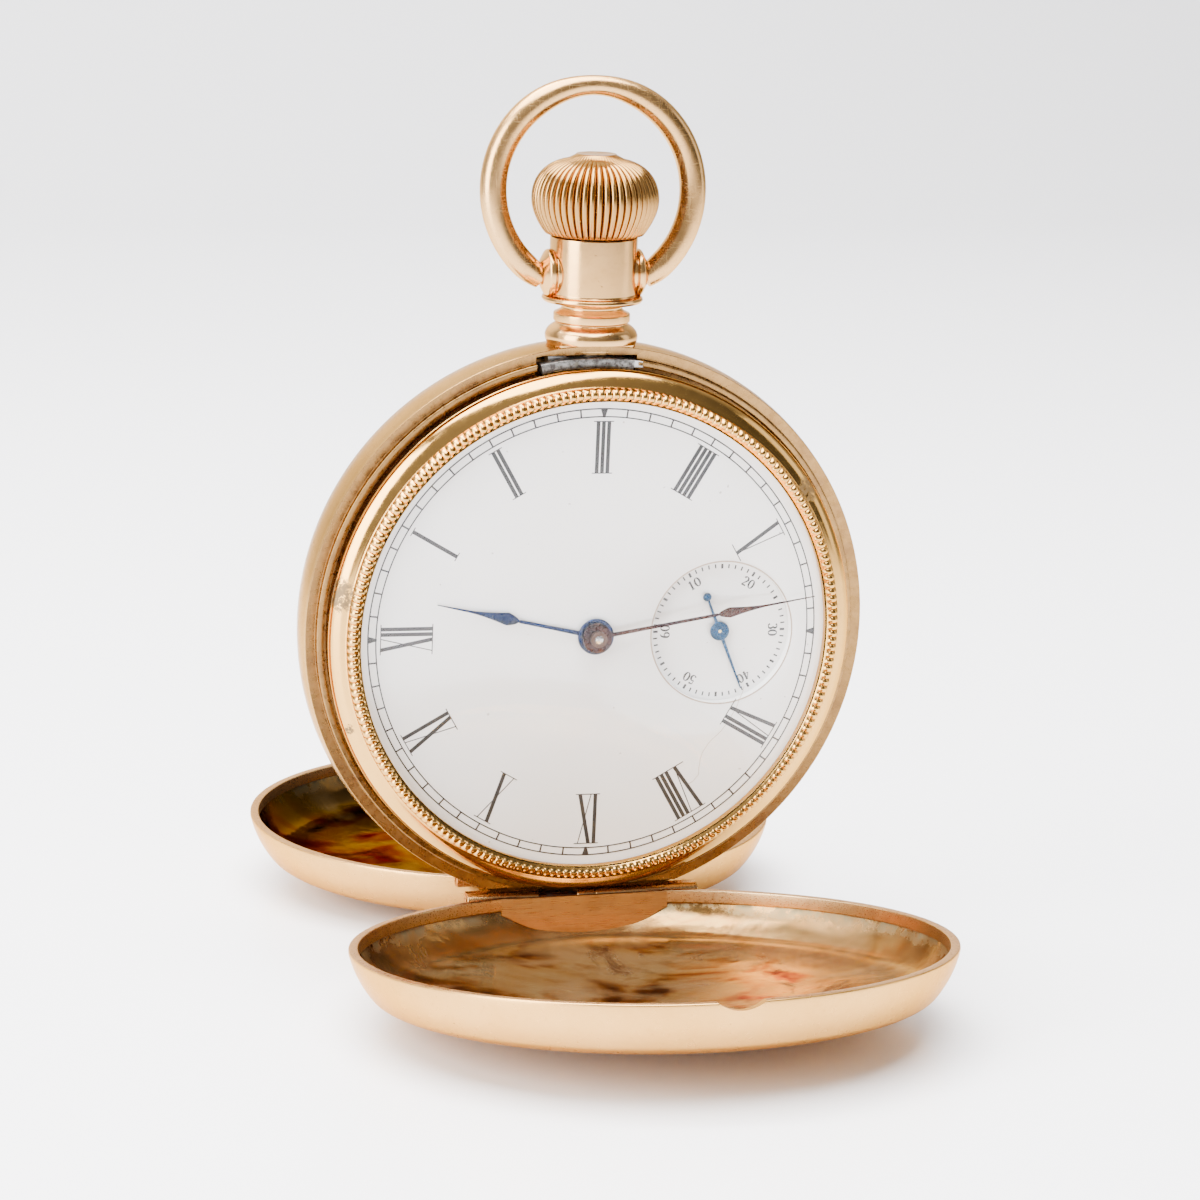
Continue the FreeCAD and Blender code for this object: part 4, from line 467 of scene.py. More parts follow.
def fired_enamel(name):
    p = Paint(name)
    cloud = p.noise(0.07, 3.0, 0.5)
    colour = p.mix(p.between(cloud, 0.35, 0.7), (0.80, 0.79, 0.775), (0.83, 0.825, 0.82))
    specks = p.between(p.noise(1.6, 2.0, 0.4, shift=(9, 2, 1)), 0.772, 0.80)
    colour = p.over(colour, specks, 0.55, (0.25, 0.2, 0.17))
    gloss = p.plus(p.times(cloud, 0.06), 0.13)
    return p.done(colour, gloss, p.bump(p.noise(0.30, 3.0, 0.5), 0.02, 0.25), metal=0.0,
                  Coat_Weight=0.6, Coat_Roughness=0.04, IOR=1.5)


def dial_print(name, base):
    p = Paint(name)
    cloud = p.noise(3.0, 3.0, 0.6)
    colour = p.mix(cloud, base, tuple(c * 1.9 for c in base))
    return p.done(colour, p.plus(p.times(cloud, 0.2), 0.25), metal=0.0)


def clear_glass(name):
    """Clear glass that lets the lamps through to what is behind it, with faint handling marks."""
    p = Paint(name)
    smears = p.noise(0.12, 4.0, 0.6)
    gloss = p.times(p.between(smears, 0.45, 0.8), 0.03)
    material = p.done((1.0, 1.0, 1.0), gloss, metal=0.0, Transmission_Weight=1.0, IOR=1.25)
    path = p.add("ShaderNodeLightPath")
    lets_through = p.math("MAXIMUM", path.outputs["Is Shadow Ray"], path.outputs["Is Diffuse Ray"])
    open_way = p.add("ShaderNodeBsdfTransparent")
    blend = p.add("ShaderNodeMixShader", lets_through, p.shader.outputs[0], open_way.outputs[0])
    p.feed(p.tree.nodes["Material Output"].inputs["Surface"], blend.outputs[0])
    return material


def ruby(name):
    p = Paint(name)
    cloud = p.noise(2.0, 3.0, 0.5)
    colour = p.mix(cloud, (0.42, 0.01, 0.05), (0.62, 0.03, 0.10))
    return p.done(colour, p.plus(p.times(cloud, 0.08), 0.04), metal=0.0, Coat_Weight=1.0)


def plain_floor(name):
    p = Paint(name)
    colour = p.mix(p.noise(3.0, 2.0, 0.5), (0.885, 0.88, 0.895), (0.895, 0.89, 0.905))
    return p.done(colour, 0.30, metal=0.0, Specular_IOR_Level=0.35)


# Worn gold takes a base colour, a paler one, a roughness and how deep its scratches are.
# The case ring's gold is the lids' gold set darker: painted shade.
gold_case_shaded = worn_gold("gold_case_shaded", (0.37, 0.208, 0.068), (0.44, 0.262, 0.10), 0.22, 0.7)
gold_lid = worn_gold("gold_lid", (0.60, 0.315, 0.082), (0.66, 0.365, 0.11), 0.30, 0.5)
# On the bezel, the first patch, at its left, is a painted dark reflection; the other two are darker, duller
# patches.
gold_polished = worn_gold("gold_polished", (0.56, 0.305, 0.080), (0.62, 0.355, 0.105), 0.14, 0.25,
                          [((-24.2, 4.6, 0.2), 2.1, 0.85), ((20.2, 13.6, 0.2), 1.6, 0.7),
                           ((-23.3, -8.2, 0.3), 0.8, 0.9)])
gold_cover = worn_gold("gold_cover", (0.30, 0.125, 0.032), (0.38, 0.17, 0.05), 0.16, 0.3)
gold_rim = worn_gold("gold_rim", (0.40, 0.215, 0.095), (0.47, 0.28, 0.14), 0.28, 0.8)
gold_pendant = worn_gold("gold_pendant", (0.55, 0.305, 0.105), (0.62, 0.36, 0.14), 0.19, 0.5)
gold_bow = worn_gold("gold_bow", (0.52, 0.29, 0.105), (0.58, 0.34, 0.13), 0.24, 0.8)
# The crown's gold is set darker still: painted shade.
gold_crown_shaded = worn_gold("gold_crown_shaded", (0.30, 0.155, 0.045), (0.36, 0.195, 0.062), 0.22, 0.3)
hinge_gold = worn_gold("hinge_gold", (0.46, 0.25, 0.09), (0.54, 0.31, 0.13), 0.26, 1.0)
gold_inside = tarnished_gold("gold_inside", 1.0, 0.9, (0.50, 0.27, 0.09, 1.0))
# The rear lid's inside is the front's material at 0.30 of its brightness: painted shade.
gold_inside_rear_shaded = tarnished_gold("gold_inside_rear_shaded", 0.30, 1.0, (0.56, 0.38, 0.20, 1.0))
# Dark brushed gold for the ring's groove faces: painted shade in the groove, with grime from its dirt cloud.
gold_seat_shaded = brushed("gold_seat_shaded", (0.21, 0.115, 0.038), (0.29, 0.165, 0.060), 0.22, (1.0, 1.0, 0.05), 0.45,
                    scale=1.2, grain=0.2, edge=(0.70, 0.50, 0.32, 1.0))
gold_plate = brushed("gold_plate", (0.45, 0.29, 0.13), (0.52, 0.345, 0.165), 0.24, (0.03, 1.0, 1.0), 0.25,
                     edge=(0.85, 0.66, 0.44, 1.0))
enamel = fired_enamel("enamel")
print_black = dial_print("print_black", (0.016, 0.015, 0.016))
print_crack = dial_print("print_crack", (0.27, 0.21, 0.16))
glass_clear = clear_glass("glass_clear")
catch_steel = rusted_steel("catch_steel", (0.36, 0.36, 0.34), (0.22, 0.20, 0.17), 0.15)
pin_steel = rusted_steel("pin_steel", (0.10, 0.08, 0.07), (0.12, 0.05, 0.03), 0.8)
blue_steel = blued("blue_steel", (0.004, 0.011, 0.045), (0.010, 0.024, 0.075))
purple_steel = blued("purple_steel", (0.022, 0.010, 0.012), (0.055, 0.024, 0.017))
boss_steel = rusted_steel("boss_steel", (0.15, 0.12, 0.11), (0.13, 0.055, 0.03), 0.5)
pale_blue_steel = blued("pale_blue_steel", (0.012, 0.040, 0.085), (0.022, 0.060, 0.12))
bare_steel = brushed("bare_steel", (0.42, 0.42, 0.42), (0.52, 0.52, 0.52), 0.2, (1, 1, 0.05), 0.15)
gilt = brushed("gilt", (0.72, 0.50, 0.20), (0.80, 0.58, 0.27), 0.2, (1, 1, 0.1), 0.15)
nickel = brushed("nickel", (0.50, 0.50, 0.48), (0.64, 0.63, 0.60), 0.18, (0.25, 1.0, 1.0), 0.05, scale=1.6)
ruby_red = ruby("ruby_red")

# ---- case centre ring
ring_profile = soften(
    [(26.95, -7.0, 0.15)]
    + arc((26.95, -6.8), (26.95, -2.5), -0.22, 12)
    + [(26.95, -2.3, 0.12), (25.95, -2.55, 0.10), (25.9, -2.0, 0.14), (25.3, -2.0, 0.14), (25.3, -3.0, 0.05),
       (24.9, -3.0, 0.05), (24.9, -1.0, 0.06), (23.9, -1.0, 0.06), (23.9, -3.0, 0.05), (22.3, -3.0),
       (22.3, -3.05), (21.2, -3.05), (21.2, -3.9), (26.2, -3.9, 0.1), (26.2, -5.9, 0.1), (22.6, -5.9),
       (22.6, -6.6, 0.1), (24.9, -6.6, 0.1), (24.9, -6.8, 0.05), (25.3, -6.8, 0.05), (25.3, -7.5, 0.14),
       (25.9, -7.5, 0.14), (25.95, -6.8, 0.10)])
case_ring = piece("case_ring", *lathe(ring_profile, 480), gold_case_shaded, "case", stands_for=("case_centre",),
                  slot="case_gold")
ROOMS = [
    ((-11.45, -28.5, -2.79), (11.65, -25.25, 1)),  # front hinge knuckles
    ((-8.75, -26.5, -2.27), (8.75, -24.65, 1)),  # front lid's hinge plate
    ((-11.45, -28.5, -9), (11.65, -24.8, -6.15)),  # rear hinge knuckles
    ((-5.2, -25, -9), (5.2, -23.1, -6.7)),  # dust cover's knuckle
    ((-5.7, 23.25, -3.95), (3.9, 26.05, 1)),  # catch
]
for low, high in ROOMS:
    carve(case_ring, slab(low, high))
# The groove faces between the band and the bezel take the dark gold: painted shade.
case_ring.data.materials.append(gold_seat_shaded)
for face in case_ring.data.polygons:
    middle = face.center
    reach = math.hypot(middle.x, middle.y)
    if reach < 26.9 and middle.z > -3.2 and face.normal.z > 0.2:
        face.material_index = 1


def case_knuckles(side, y, z, away):
    """The two long case knuckles of one hinge, each a rolled tube on a flange let into the ring."""
    parts = []
    low, high = sorted((z + away * 0.2, z + away * 0.95))
    for left, right in ((-11.25, -4.3), (1.3, 11.45)):
        parts.append(knuckle(left, right, y, z))
        parts.append(slab((left + 0.02, y - 0.52, low), (right - 0.02, y + 0.62, high)))
    bevel(piece(side + "_case_knuckles", *join(parts), hinge_gold, "case", slot="case_gold"), 0.05)


case_knuckles("front", *FRONT_HINGE, -1)
case_knuckles("rear", *REAR_HINGE, 1)
pin_profile = soften([(0, -11.15), (0.36, -11.15, 0.08), (0.36, 11.35, 0.08), (0, 11.35)], 3, closed=False)
pin_mesh = lathe(pin_profile, 24, closed=False)
for side, hinge in (("front", FRONT_HINGE), ("rear", REAR_HINGE)):
    piece(side + "_pin", *pin_mesh, pin_steel, "case", place=STAND @ shifted(0, *hinge) @ turned(90, "Y"),
          stands_for=(side + "_hinge_pin",), slot="steel")

# Steel catch that shows in the ring next to the pendant, bent to the ring's curve.
catch_profile = [(24.95, -3.5, 0.05), (25.85, -3.5, 0.05), (25.85, -1.92, 0.10), (24.95, -1.86, 0.10)]
piece("catch_face", *lathe(soften(catch_profile, 3), 40, start=82.1, sweep=19.8), catch_steel, "lock_spring",
      slot="steel", sharp=40)

# ---- pendant, bow, crown
pendant_profile = soften(
    [(0.95, 26.3), (3.65, 26.3, 0.1)]
    + arc((3.95, 26.6), (3.45, 28.7), -0.62, 10)
    + [(3.35, 28.85, 0.10), (3.57, 29.0, 0.14), (3.57, 29.7, 0.16), (3.15, 29.9, 0.12)]
    + arc((2.95, 30.0), (3.05, 30.6), 0.18, 6)
    + [(3.4, 30.75, 0.1), (4.55, 30.8, 0.12), (4.72, 31.05, 0.12), (4.62, 31.3, 0.12), (4.15, 31.42, 0.08),
       (4.05, 31.6, 0.1), (4.05, 36.8, 0.12), (1.6, 36.8, 0.05), (1.6, 31), (0.95, 31)])
pendant_skin = piece("pendant_skin", *lathe(pendant_profile, 128), gold_pendant, "case", place=STEM_LINE,
                     stands_for=("pendant",), slot="case_gold")
# Room for the closed lids in front of and behind the ring.
for low, high in ((-2.45, 1.0), (-9.6, -6.75)):
    carve(pendant_skin, lathe([(0, low), (27.2, low), (27.2, high), (0, high)], 360, closed=False))
boss_profile = soften([(0, 3.4), (2.12, 3.4, 0.05), (2.12, 3.75, 0.10), (1.98, 3.86, 0.08),
                       (2.22, 3.98, 0.10), (2.22, 4.45, 0.45), (1.2, 5.02, 0.9), (0, 5.12)], 5, closed=False)
bosses = [moved(lathe(boss_profile, 64, closed=False), BOW_PIVOT @ turned(angle, "Y")) for angle in (-90, 90)]
piece("pendant_bosses", *join(bosses), gold_pendant, "case", slot="case_gold")

BOW_BACK = 5.0
BOW_RADIUS = 9.48
BOW_RISE = 7.6
BOW_THICK = 1.24
BOW_STEPS = 160
bow_path = []
bow_radii = []
for k in range(BOW_STEPS + 1):
    angle = math.radians(-58.5 + 297.0 * k / BOW_STEPS)
    worn = math.exp(-((angle - math.pi / 2) / 0.42) ** 2)
    tip = min(k, BOW_STEPS - k) / 7.0
    thin = 1.0 if tip >= 1 else 0.80 + 0.20 * math.sin(tip * math.pi / 2)
    bow_path.append((BOW_RADIUS * math.cos(angle), BOW_RISE + BOW_RADIUS * math.sin(angle), 0))
    bow_radii.append(((BOW_THICK - 0.36 * worn) * thin, (BOW_THICK - 0.28 * worn) * thin))
piece("bow_ring", *tube(bow_path, bow_radii, 32), gold_bow, "bow",
      place=STAND @ BOW_PIVOT @ turned(-BOW_BACK, "X"), stands_for=("bow",), slot="case_gold")

FLUTES = 52
crown_outline = [(0.95, 38.2), (4.25, 38.2), (4.25, 37.1), (4.36, 36.98), (4.58, 37.05)]
for k in range(1, 13):
    crown_outline.append((4.62 + 1.28 * math.sin(k / 12 * math.pi / 2) ** 0.9, 37.1 + 3.2 * (k / 12)))
for degrees in range(8, 80, 6):
    t = math.radians(degrees)
    crown_outline.append((5.9 * math.cos(t) ** 0.62, 40.3 + 3.75 * math.sin(t)))
crown_outline += [(1.92, 44.28), (1.85, 44.38), (1.7, 44.36), (0, 44.30)]
crown_outline.reverse()


def flute_wave(angle, k):
    """Cuts the flutes into the crown's side, shallower toward its top and its skirt."""
    r, y = crown_outline[k]
    if r <= 4.3 and (r <= 1.95 or y <= 41):
        return 1.0
    ridge = abs(math.sin(angle * FLUTES / 2)) ** 0.55
    deep = 0.42 * min(1.0, (r - 1.6) / 2.8)
    if y < 39:
        deep = min(deep, r - 4.22)
    return 1.0 - deep * (1 - ridge) / r


piece("crown_fluted", *lathe(crown_outline, FLUTES * 14, closed=False, wave=flute_wave), gold_crown_shaded, "crown",
      place=STEM_LINE, stands_for=("crown",), slot="crown_gold", sharp=70)


# ---- lids
LID_DEPTH = 7.3
LID_SKIN = 0.55


def lid_place(facing, plane, opened, hinge):
    """Lids are drawn as cups over z = 0, then set on their plane, turned to their side and swung open."""
    drawn = shifted(0, 0, plane)
    if facing < 0:
        drawn = drawn @ turned(180, "Y")
    swing = shifted(0, *hinge) @ turned(facing * opened, "X") @ shifted(0, -hinge[0], -hinge[1])
    return STAND @ swing @ drawn


def lid_section(wall, depth):
    """One face of a lid from the rim to the middle: flared wall, soft shoulder, flat dome."""
    shoulder_r, shoulder_z = wall[-1]
    rise = depth - shoulder_z - 0.55
    dome_r = (shoulder_r ** 2 + rise ** 2) / (2 * rise)
    dome = []
    for k in range(1, 31):
        r = shoulder_r * (1 - k / 30)
        dome.append((r, depth - (dome_r - math.sqrt(dome_r ** 2 - r ** 2))))
    return wall + soften_shoulder(wall[-2], wall[-1], dome)


def soften_shoulder(before, corner, after):
    """Replaces the corner where the wall meets the dome by a smooth turn."""
    a = Vector(corner)
    b = Vector(after[2])
    lead = a + (a - Vector(before)).normalized() * 0.6
    tail = b + (b - Vector(after[4])).normalized() * 1.4
    curve = []
    for k in range(1, 12):
        t = k / 12
        p = a * (1 - t) ** 3 + lead * 3 * t * (1 - t) ** 2 + tail * 3 * t ** 2 * (1 - t) + b * t ** 3
        curve.append((p.x, p.y))
    return curve + after[2:]


def lid_shell(node, place, inside):
    """The lid's sheet, with its rim, the strip behind the rim and its hollow side finished differently."""
    outer = lid_section(arc((26.93, 0.30), (25.15, 3.9), -0.22, 8), LID_DEPTH)
    inner = lid_section(arc((26.35, 1.3), (24.65, 3.72), -0.15, 8), LID_DEPTH - LID_SKIN)
    rim = soften([(26.93, 0.30), (26.93, 0.0, 0.16), (26.08, 0.0, 0.12), (26.08, 1.18, 0.06), (26.35, 1.24)],
                 5, closed=False)
    shell = piece(node + "_shell", *lathe(outer[::-1] + rim[1:-1] + inner, 400, closed=False), gold_lid, node,
                  place=place, stands_for=(node,), slot="lid_gold")
    for finish in (inside, gold_plate, gold_rim):
        shell.data.materials.append(finish)
    for face in shell.data.polygons:
        height = face.center.z
        reach = math.hypot(face.center.x, face.center.y)
        if face.normal.z < -0.75 and height < 0.2 and reach > 26:
            face.material_index = 3
        elif reach < 26.2 and height < 1.3:
            face.material_index = 2
        elif face.normal.z < -0.05 and reach < 26.4 and height > 1.0:
            face.material_index = 1
    return shell


front_place = lid_place(1, -2.2, 80.94, FRONT_HINGE)
rear_place = lid_place(-1, -7.1, 92.76, REAR_HINGE)
front_lid = lid_shell("front_lid", front_place, gold_inside)
rear_lid = lid_shell("rear_lid", rear_place, gold_inside_rear_shaded)
# Recess for the case knuckles, and the nail nick opposite.
carve(front_lid, slab((-11.7, -28.5, -1), (11.9, -25.42, 1.2)), front_place)
nick = lathe([(0, 0), (3.2, 0), (3.2, 5), (0, 5)], 64, closed=False)
nick = moved(nick, shifted(0, 24, -2.45) @ turned(-90, "X"))
carve(front_lid, nick, front_place)
carve(rear_lid, slab((-11.9, -28.5, -1), (11.7, -24.9, 1.9)), rear_place)

PLATE_HALF = 8.2
PLATE_THICK = 0.42
PLATE_STEPS = 40


def plate_sheet(face_y, top):
    """The flat hinge plate: straight along the rim, its far edge following the lid's wall."""
    verts = []
    for y in (face_y, face_y - PLATE_THICK):
        spots = [-PLATE_HALF + 2 * PLATE_HALF * k / PLATE_STEPS for k in range(PLATE_STEPS + 1)]
        verts += [(x, y, top) for x in spots]
        for x in spots:
            low = 1.3 + max(0.0, 26.05 - math.hypot(x, face_y)) / 0.52
            verts.append((x, y, min(low, 4.3) + 0.35))
    n = PLATE_STEPS + 1
    faces = []
    for k in range(PLATE_STEPS):
        faces.append((k, k + 1, n + k + 1, n + k))
        faces.append((2 * n + k + 1, 2 * n + k, 3 * n + k, 3 * n + k + 1))
        faces.append((k, 2 * n + k, 2 * n + k + 1, k + 1))
        faces.append((n + k, n + k + 1, 3 * n + k + 1, 3 * n + k))
    faces += [(0, n, 3 * n, 2 * n), (n - 1, 3 * n - 1, 4 * n - 1, 2 * n - 1)]
    return verts, faces


def hinge_plate(node, place, hinge_y, hinge_depth, span, face_y, top):
    """The lid's flat hinge plate, its short knuckle over the span and the leaf between them."""
    left, right = span
    low = (left + 0.02, hinge_y - 0.05, hinge_depth + 0.3)
    if top < 1:
        leaf = [slab(low, (right - 0.02, face_y - 0.2, hinge_depth + 1.05))]
    else:
        # The rear leaf steps over the dust cover's hinge.
        leaf = [slab(low, (right - 0.02, hinge_y + 0.5, 2.3)),
                slab((left + 0.02, hinge_y + 0.45, 1.5), (right - 0.02, face_y - 0.1, 2.3))]
    flat = piece(node + "_hinge_plate", *join([plate_sheet(face_y, top)] + leaf), gold_plate, node,
                 place=place, slot="lid_gold")
    bevel(flat, 0.06)
    piece(node + "_knuckle", *knuckle(left, right, hinge_y, hinge_depth), hinge_gold, node, place=place,
          slot="lid_gold")


hinge_plate("front_lid", front_place, FRONT_HINGE[0], 0.26, (-0.5, 1.2), -24.78, 0.05)
hinge_plate("rear_lid", rear_place, REAR_HINGE[0], -0.1, (-1.2, 3.1), -24.3, 1.95)

# ---- dust cover
cover_profile = soften([(24.7, -6.65, 0.08), (24.7, -7.9, 0.25), (23.4, -8.7, 1.2)]
                       + [(23.4 * (1 - k / 24), -9.85 + 1.15 * (1 - k / 24) ** 2) for k in range(1, 25)]
                       + [(23.1 * (k / 24), -9.45 + 1.15 * (k / 24) ** 2) for k in range(0, 24)]
                       + [(23.2, -8.3, 0.9), (24.3, -7.75, 0.2), (24.3, -6.65, 0.08)], 4)
piece("dust_cover_skin", *lathe(cover_profile, 300), gold_cover, "dust_cover", stands_for=("dust_cover",),
      slot="lid_gold")
piece("dust_cover_knuckle", *knuckle(-2, 2, -24.55, -7.5, 0.27, 0.5, (0.02, 0.06), 32), hinge_gold,
      "dust_cover", slot="lid_gold")

# ---- bezel with coin edge, glass
BEADS = 212
bezel_corners = [(23.0, -2.9), (23.8, -2.9, 0.05), (23.8, -0.9, 0.03), (25.1, -0.9, 0.08),
                 (25.1, -0.45, 0.14)]
slope = arc((24.9, -0.22), (23.72, 0.62), -0.10, 10)
bead_ring = [(23.62, 0.70), (23.60, 0.95), (23.52, 1.17), (23.38, 1.36), (23.20, 1.48), (23.0, 1.54),
             (22.82, 1.52), (22.68, 1.42), (22.58, 1.28)]
inner_side = [(22.45, 1.22), (22.28, 0.98), (22.25, 0.8), (22.25, 0.1), (23.0, 0.1)]
bezel_points = soften(bezel_corners) + slope + bead_ring + inner_side
bead_start = bezel_points.index(bead_ring[0])
bead_stop = bead_start + len(bead_ring)


def bezel_mesh():
    """The bezel turned, with its bead drawn in toward its own middle between the coin-edge teeth."""
    steps = BEADS * 6
    verts, faces = lathe(bezel_points, steps)
    for i, (x, y, z) in enumerate(verts):
        column, k = divmod(i, len(bezel_points))
        if not bead_start < k < bead_stop - 1:
            continue
        angle = 2 * math.pi * column / steps
        groove = 1 - abs(math.sin(angle * BEADS / 2)) ** 0.7
        across = math.sin(math.pi * (k - bead_start) / (bead_stop - 1 - bead_start)) ** 0.5
        r = math.hypot(x, y)
        inward = Vector((23.05 - r, 0.85 - z)).normalized() * (0.20 * groove * across)
        verts[i] = (x * (r + inward.x) / r, y * (r + inward.x) / r, z + inward.y)
    return verts, faces


bezel = piece("bezel_coin_edge", *bezel_mesh(), gold_polished, "case", stands_for=("bezel",),
              slot="bezel_gold", sharp=75)
carve(bezel, slab((-8.75, -26.5, -1.2), (8.75, -24.68, 0.6)))

GLASS_BULGE = 2.6
glass = [(22.40, 0.92), (22.42, 1.18)]
for r in [22.2 * (1 - k / 30) for k in range(31)]:
    glass.append((r, 1.28 + 2.12 * (1 - (r / 22.4) ** GLASS_BULGE)))
for r in [21.7 * k / 30 for k in range(31)]:
    glass.append((r, 2.72 - 1.80 * (r / 21.9) ** GLASS_BULGE))
piece("glass_dome", *lathe(glass, 240), glass_clear, "case", stands_for=("crystal",), slot="crystal_glass",
      sharp=60)

# ---- dial
SECONDS = (12.34, -0.15)
SECONDS_PLACE = shifted(*SECONDS, 0)
PRINT_TURN = turned(-0.7, "Z")
DIAL_RIM = 22.75


def around(r, angle, centre=(0.0, 0.0)):
    return centre[0] + r * math.cos(angle), centre[1] + r * math.sin(angle)


def dial_face():
    """Enamel disc with the seconds opening, its edge softly rolled down into the sink."""
    verts = []
    steps = 240
    hole = [(6.80, -0.88), (6.80, -0.10), (6.85, -0.04), (6.93, 0.0)]
    lip = hole[-1][0]
    for k in range(steps):
        angle = 2 * math.pi * k / steps
        verts += [(*around(r, angle, SECONDS), z) for r, z in hole]
        reach = ray_to_rim(SECONDS, angle, DIAL_RIM)
        for share in (0.25, 0.6, 1.0):
            verts.append((*around(lip + (reach - lip) * share, angle, SECONDS), 0.0))
        verts.append((*around(reach, angle, SECONDS), -0.9))
    pairs = [(k, (k + 1) % steps) for k in range(steps)]
    return verts, [face[::-1] for face in quads(len(hole) + 4, pairs)]


def ray_to_rim(origin, angle, rim):
    """How far the dial's rim is from a point inside it, in one direction."""
    dx, dy = math.cos(angle), math.sin(angle)
    b = origin[0] * dx + origin[1] * dy
    c = origin[0] ** 2 + origin[1] ** 2 - rim ** 2
    return -b + math.sqrt(b * b - c)


piece("dial_face", *dial_face(), enamel, "case", stands_for=("dial",), slot="enamel", sharp=50)
sink = soften([(0.4, -1.2), (7.3, -1.2), (7.3, -0.905), (0.4, -0.905, 0.02)], 2)
piece("seconds_face", *lathe(sink, 96), enamel, "case", place=STAND @ SECONDS_PLACE,
      stands_for=("seconds_dial",), slot="enamel")


def band(inner, outer, z, steps=360):
    """A flat printed ring."""
    verts = []
    faces = []
    for k in range(steps):
        angle = 2 * math.pi * k / steps
        verts += [(*around(inner, angle), z), (*around(outer, angle), z)]
        m = (k + 1) % steps
        faces.append((2 * k, 2 * k + 1, 2 * m + 1, 2 * m))
    return verts, faces


def patch(corners, z):
    return [(x, y, z) for x, y in corners], [tuple(range(len(corners)))]


def at_angle(part, degrees, x=0.0, y=0.0):
    """A part turned about the dial's centre, then moved over it."""
    return moved(part, shifted(x, y, 0) @ turned(degrees, "Z"))


def stroke(points, widths, z):
    """A printed line of changing width through points."""
    left = []
    right = []
    for i, p in enumerate(points):
        ahead = Vector(points[min(i + 1, len(points) - 1)]) - Vector(points[max(i - 1, 0)])
        ahead.normalize()
        side = Vector((-ahead.y, ahead.x)) * widths[i] / 2
        left.append((p[0] + side.x, p[1] + side.y, z))
        right.append((p[0] - side.x, p[1] - side.y, z))
    count = len(points)
    faces = [(i, i + 1, count + i + 1, count + i) for i in range(count - 1)]
    return left + right, faces


INK = 0.012
TRACK_OUT = 21.5
TRACK_IN = 20.68
printed = [band(TRACK_OUT - 0.12, TRACK_OUT, INK), band(TRACK_IN, TRACK_IN + 0.12, INK)]
for minute in range(60):
    start, foot, head = (TRACK_IN - 0.02, 0.10, 0.36) if minute % 15 == 0 else (TRACK_IN, 0.08, 0.08)
    mark = patch([(start, -foot), (TRACK_OUT, -head), (TRACK_OUT, head), (start, foot)], INK)
    printed.append(at_angle(mark, minute * 6))

NUMERAL_FOOT = 15.45
NUMERAL_HEAD = 20.3
THICK = 0.36
THIN = 0.09
GLYPH_WIDE = {"I": 0.34, "V": 1.30, "X": 1.30}
GLYPH_GAP = 0.17
NUMERALS = ("I", "II", "III", "IIII", "V", "", "VII", "VIII", "IX", "X", "XI", "XII")


def numeral(text):
    """Strokes of one numeral between two serif lines: across is x, from foot to head is y."""
    foot, head = NUMERAL_FOOT, NUMERAL_HEAD
    total = sum(GLYPH_WIDE[c] for c in text) + GLYPH_GAP * (len(text) - 1)
    at = -total / 2
    parts = []
    for c in text:
        wide = GLYPH_WIDE[c]
        if c == "I":
            lines = [[(at + wide / 2, foot), (at + wide / 2, head)]]
        elif c == "V":
            point = (at + wide * 0.55, foot)
            lines = [[(at + 0.15, head), point], [(at + wide - 0.03, head), point]]
        else:
            lines = [[(at + 0.18, head), (at + wide - 0.15, foot)],
                     [(at + wide - 0.08, head), (at + 0.08, foot)]]
        for points, width, z in zip(lines, (THICK, THIN), (INK, INK + 0.002)):
            parts.append(stroke(points, [width] * 2, z))
        at += wide + GLYPH_GAP
    reach = total / 2 + 0.28
    for level in (foot, head):
        parts.append(stroke([(-reach, level), (reach, level)], [THIN, THIN], INK + 0.004))
    return join(parts)


for hour, text in enumerate(NUMERALS, 1):
    if text:
        printed.append(at_angle(at_angle(numeral(text), -90), 180 - 30 * hour))
piece("dial_print", *join(printed), print_black, "case", place=STAND @ PRINT_TURN, slot="enamel")


SMALL_THICK = 0.19
SMALL_THIN = 0.075
BOLD = [SMALL_THICK] * 2
FINE = [SMALL_THIN] * 2
OVAL_STEPS = 20


def oval(cx, cy, rx, ry, start, stop):
    """An arc of an upright oval whose line is thick at its sides and thin at top and bottom."""
    points = []
    widths = []
    for k in range(OVAL_STEPS + 1):
        a = math.radians(start + (stop - start) * k / OVAL_STEPS)
        points.append((cx + rx * math.cos(a), cy + ry * math.sin(a)))
        widths.append(SMALL_THIN + (SMALL_THICK - SMALL_THIN) * abs(math.cos(a)))
    return points, widths


# The small upright numerals, 0.9 high and 0.56 wide, as points and line widths. Their foot is at y = 0.
DIGITS = {
    "0": [oval(0, 0.45, 0.23, 0.42, 0, 360)],
    "1": [([(0, 0.88), (0, 0)], BOLD), ([(-0.16, 0.70), (0, 0.87)], FINE), ([(-0.15, 0), (0.15, 0)], FINE)],
    "2": [oval(0, 0.66, 0.20, 0.22, 170, -40),
          ([(0.15, 0.52), (-0.22, 0.03)], [SMALL_THICK * 0.8, SMALL_THIN]),
          ([(-0.22, 0.05), (0.22, 0.05)], [SMALL_THICK, SMALL_THICK * 0.7])],
    "3": [oval(0, 0.67, 0.19, 0.20, 160, -85), oval(0, 0.25, 0.22, 0.24, 85, -160)],
    "4": [([(0.10, 0.88), (0.10, 0)], BOLD), ([(0.10, 0.88), (-0.26, 0.28)], FINE),
          ([(-0.26, 0.28), (0.26, 0.28)], FINE)],
    "5": [([(0.20, 0.86), (-0.15, 0.86)], [SMALL_THICK, SMALL_THIN]), ([(-0.15, 0.88), (-0.17, 0.48)], FINE),
          oval(0, 0.28, 0.21, 0.27, 130, -150)],
    "6": [oval(0, 0.26, 0.21, 0.25, 0, 360), oval(0.06, 0.40, 0.27, 0.47, 185, 90)],
}
SINK_INK = -0.892
SMALL_TRACK_OUT = 6.46
SMALL_FOOT = 4.85
small = []
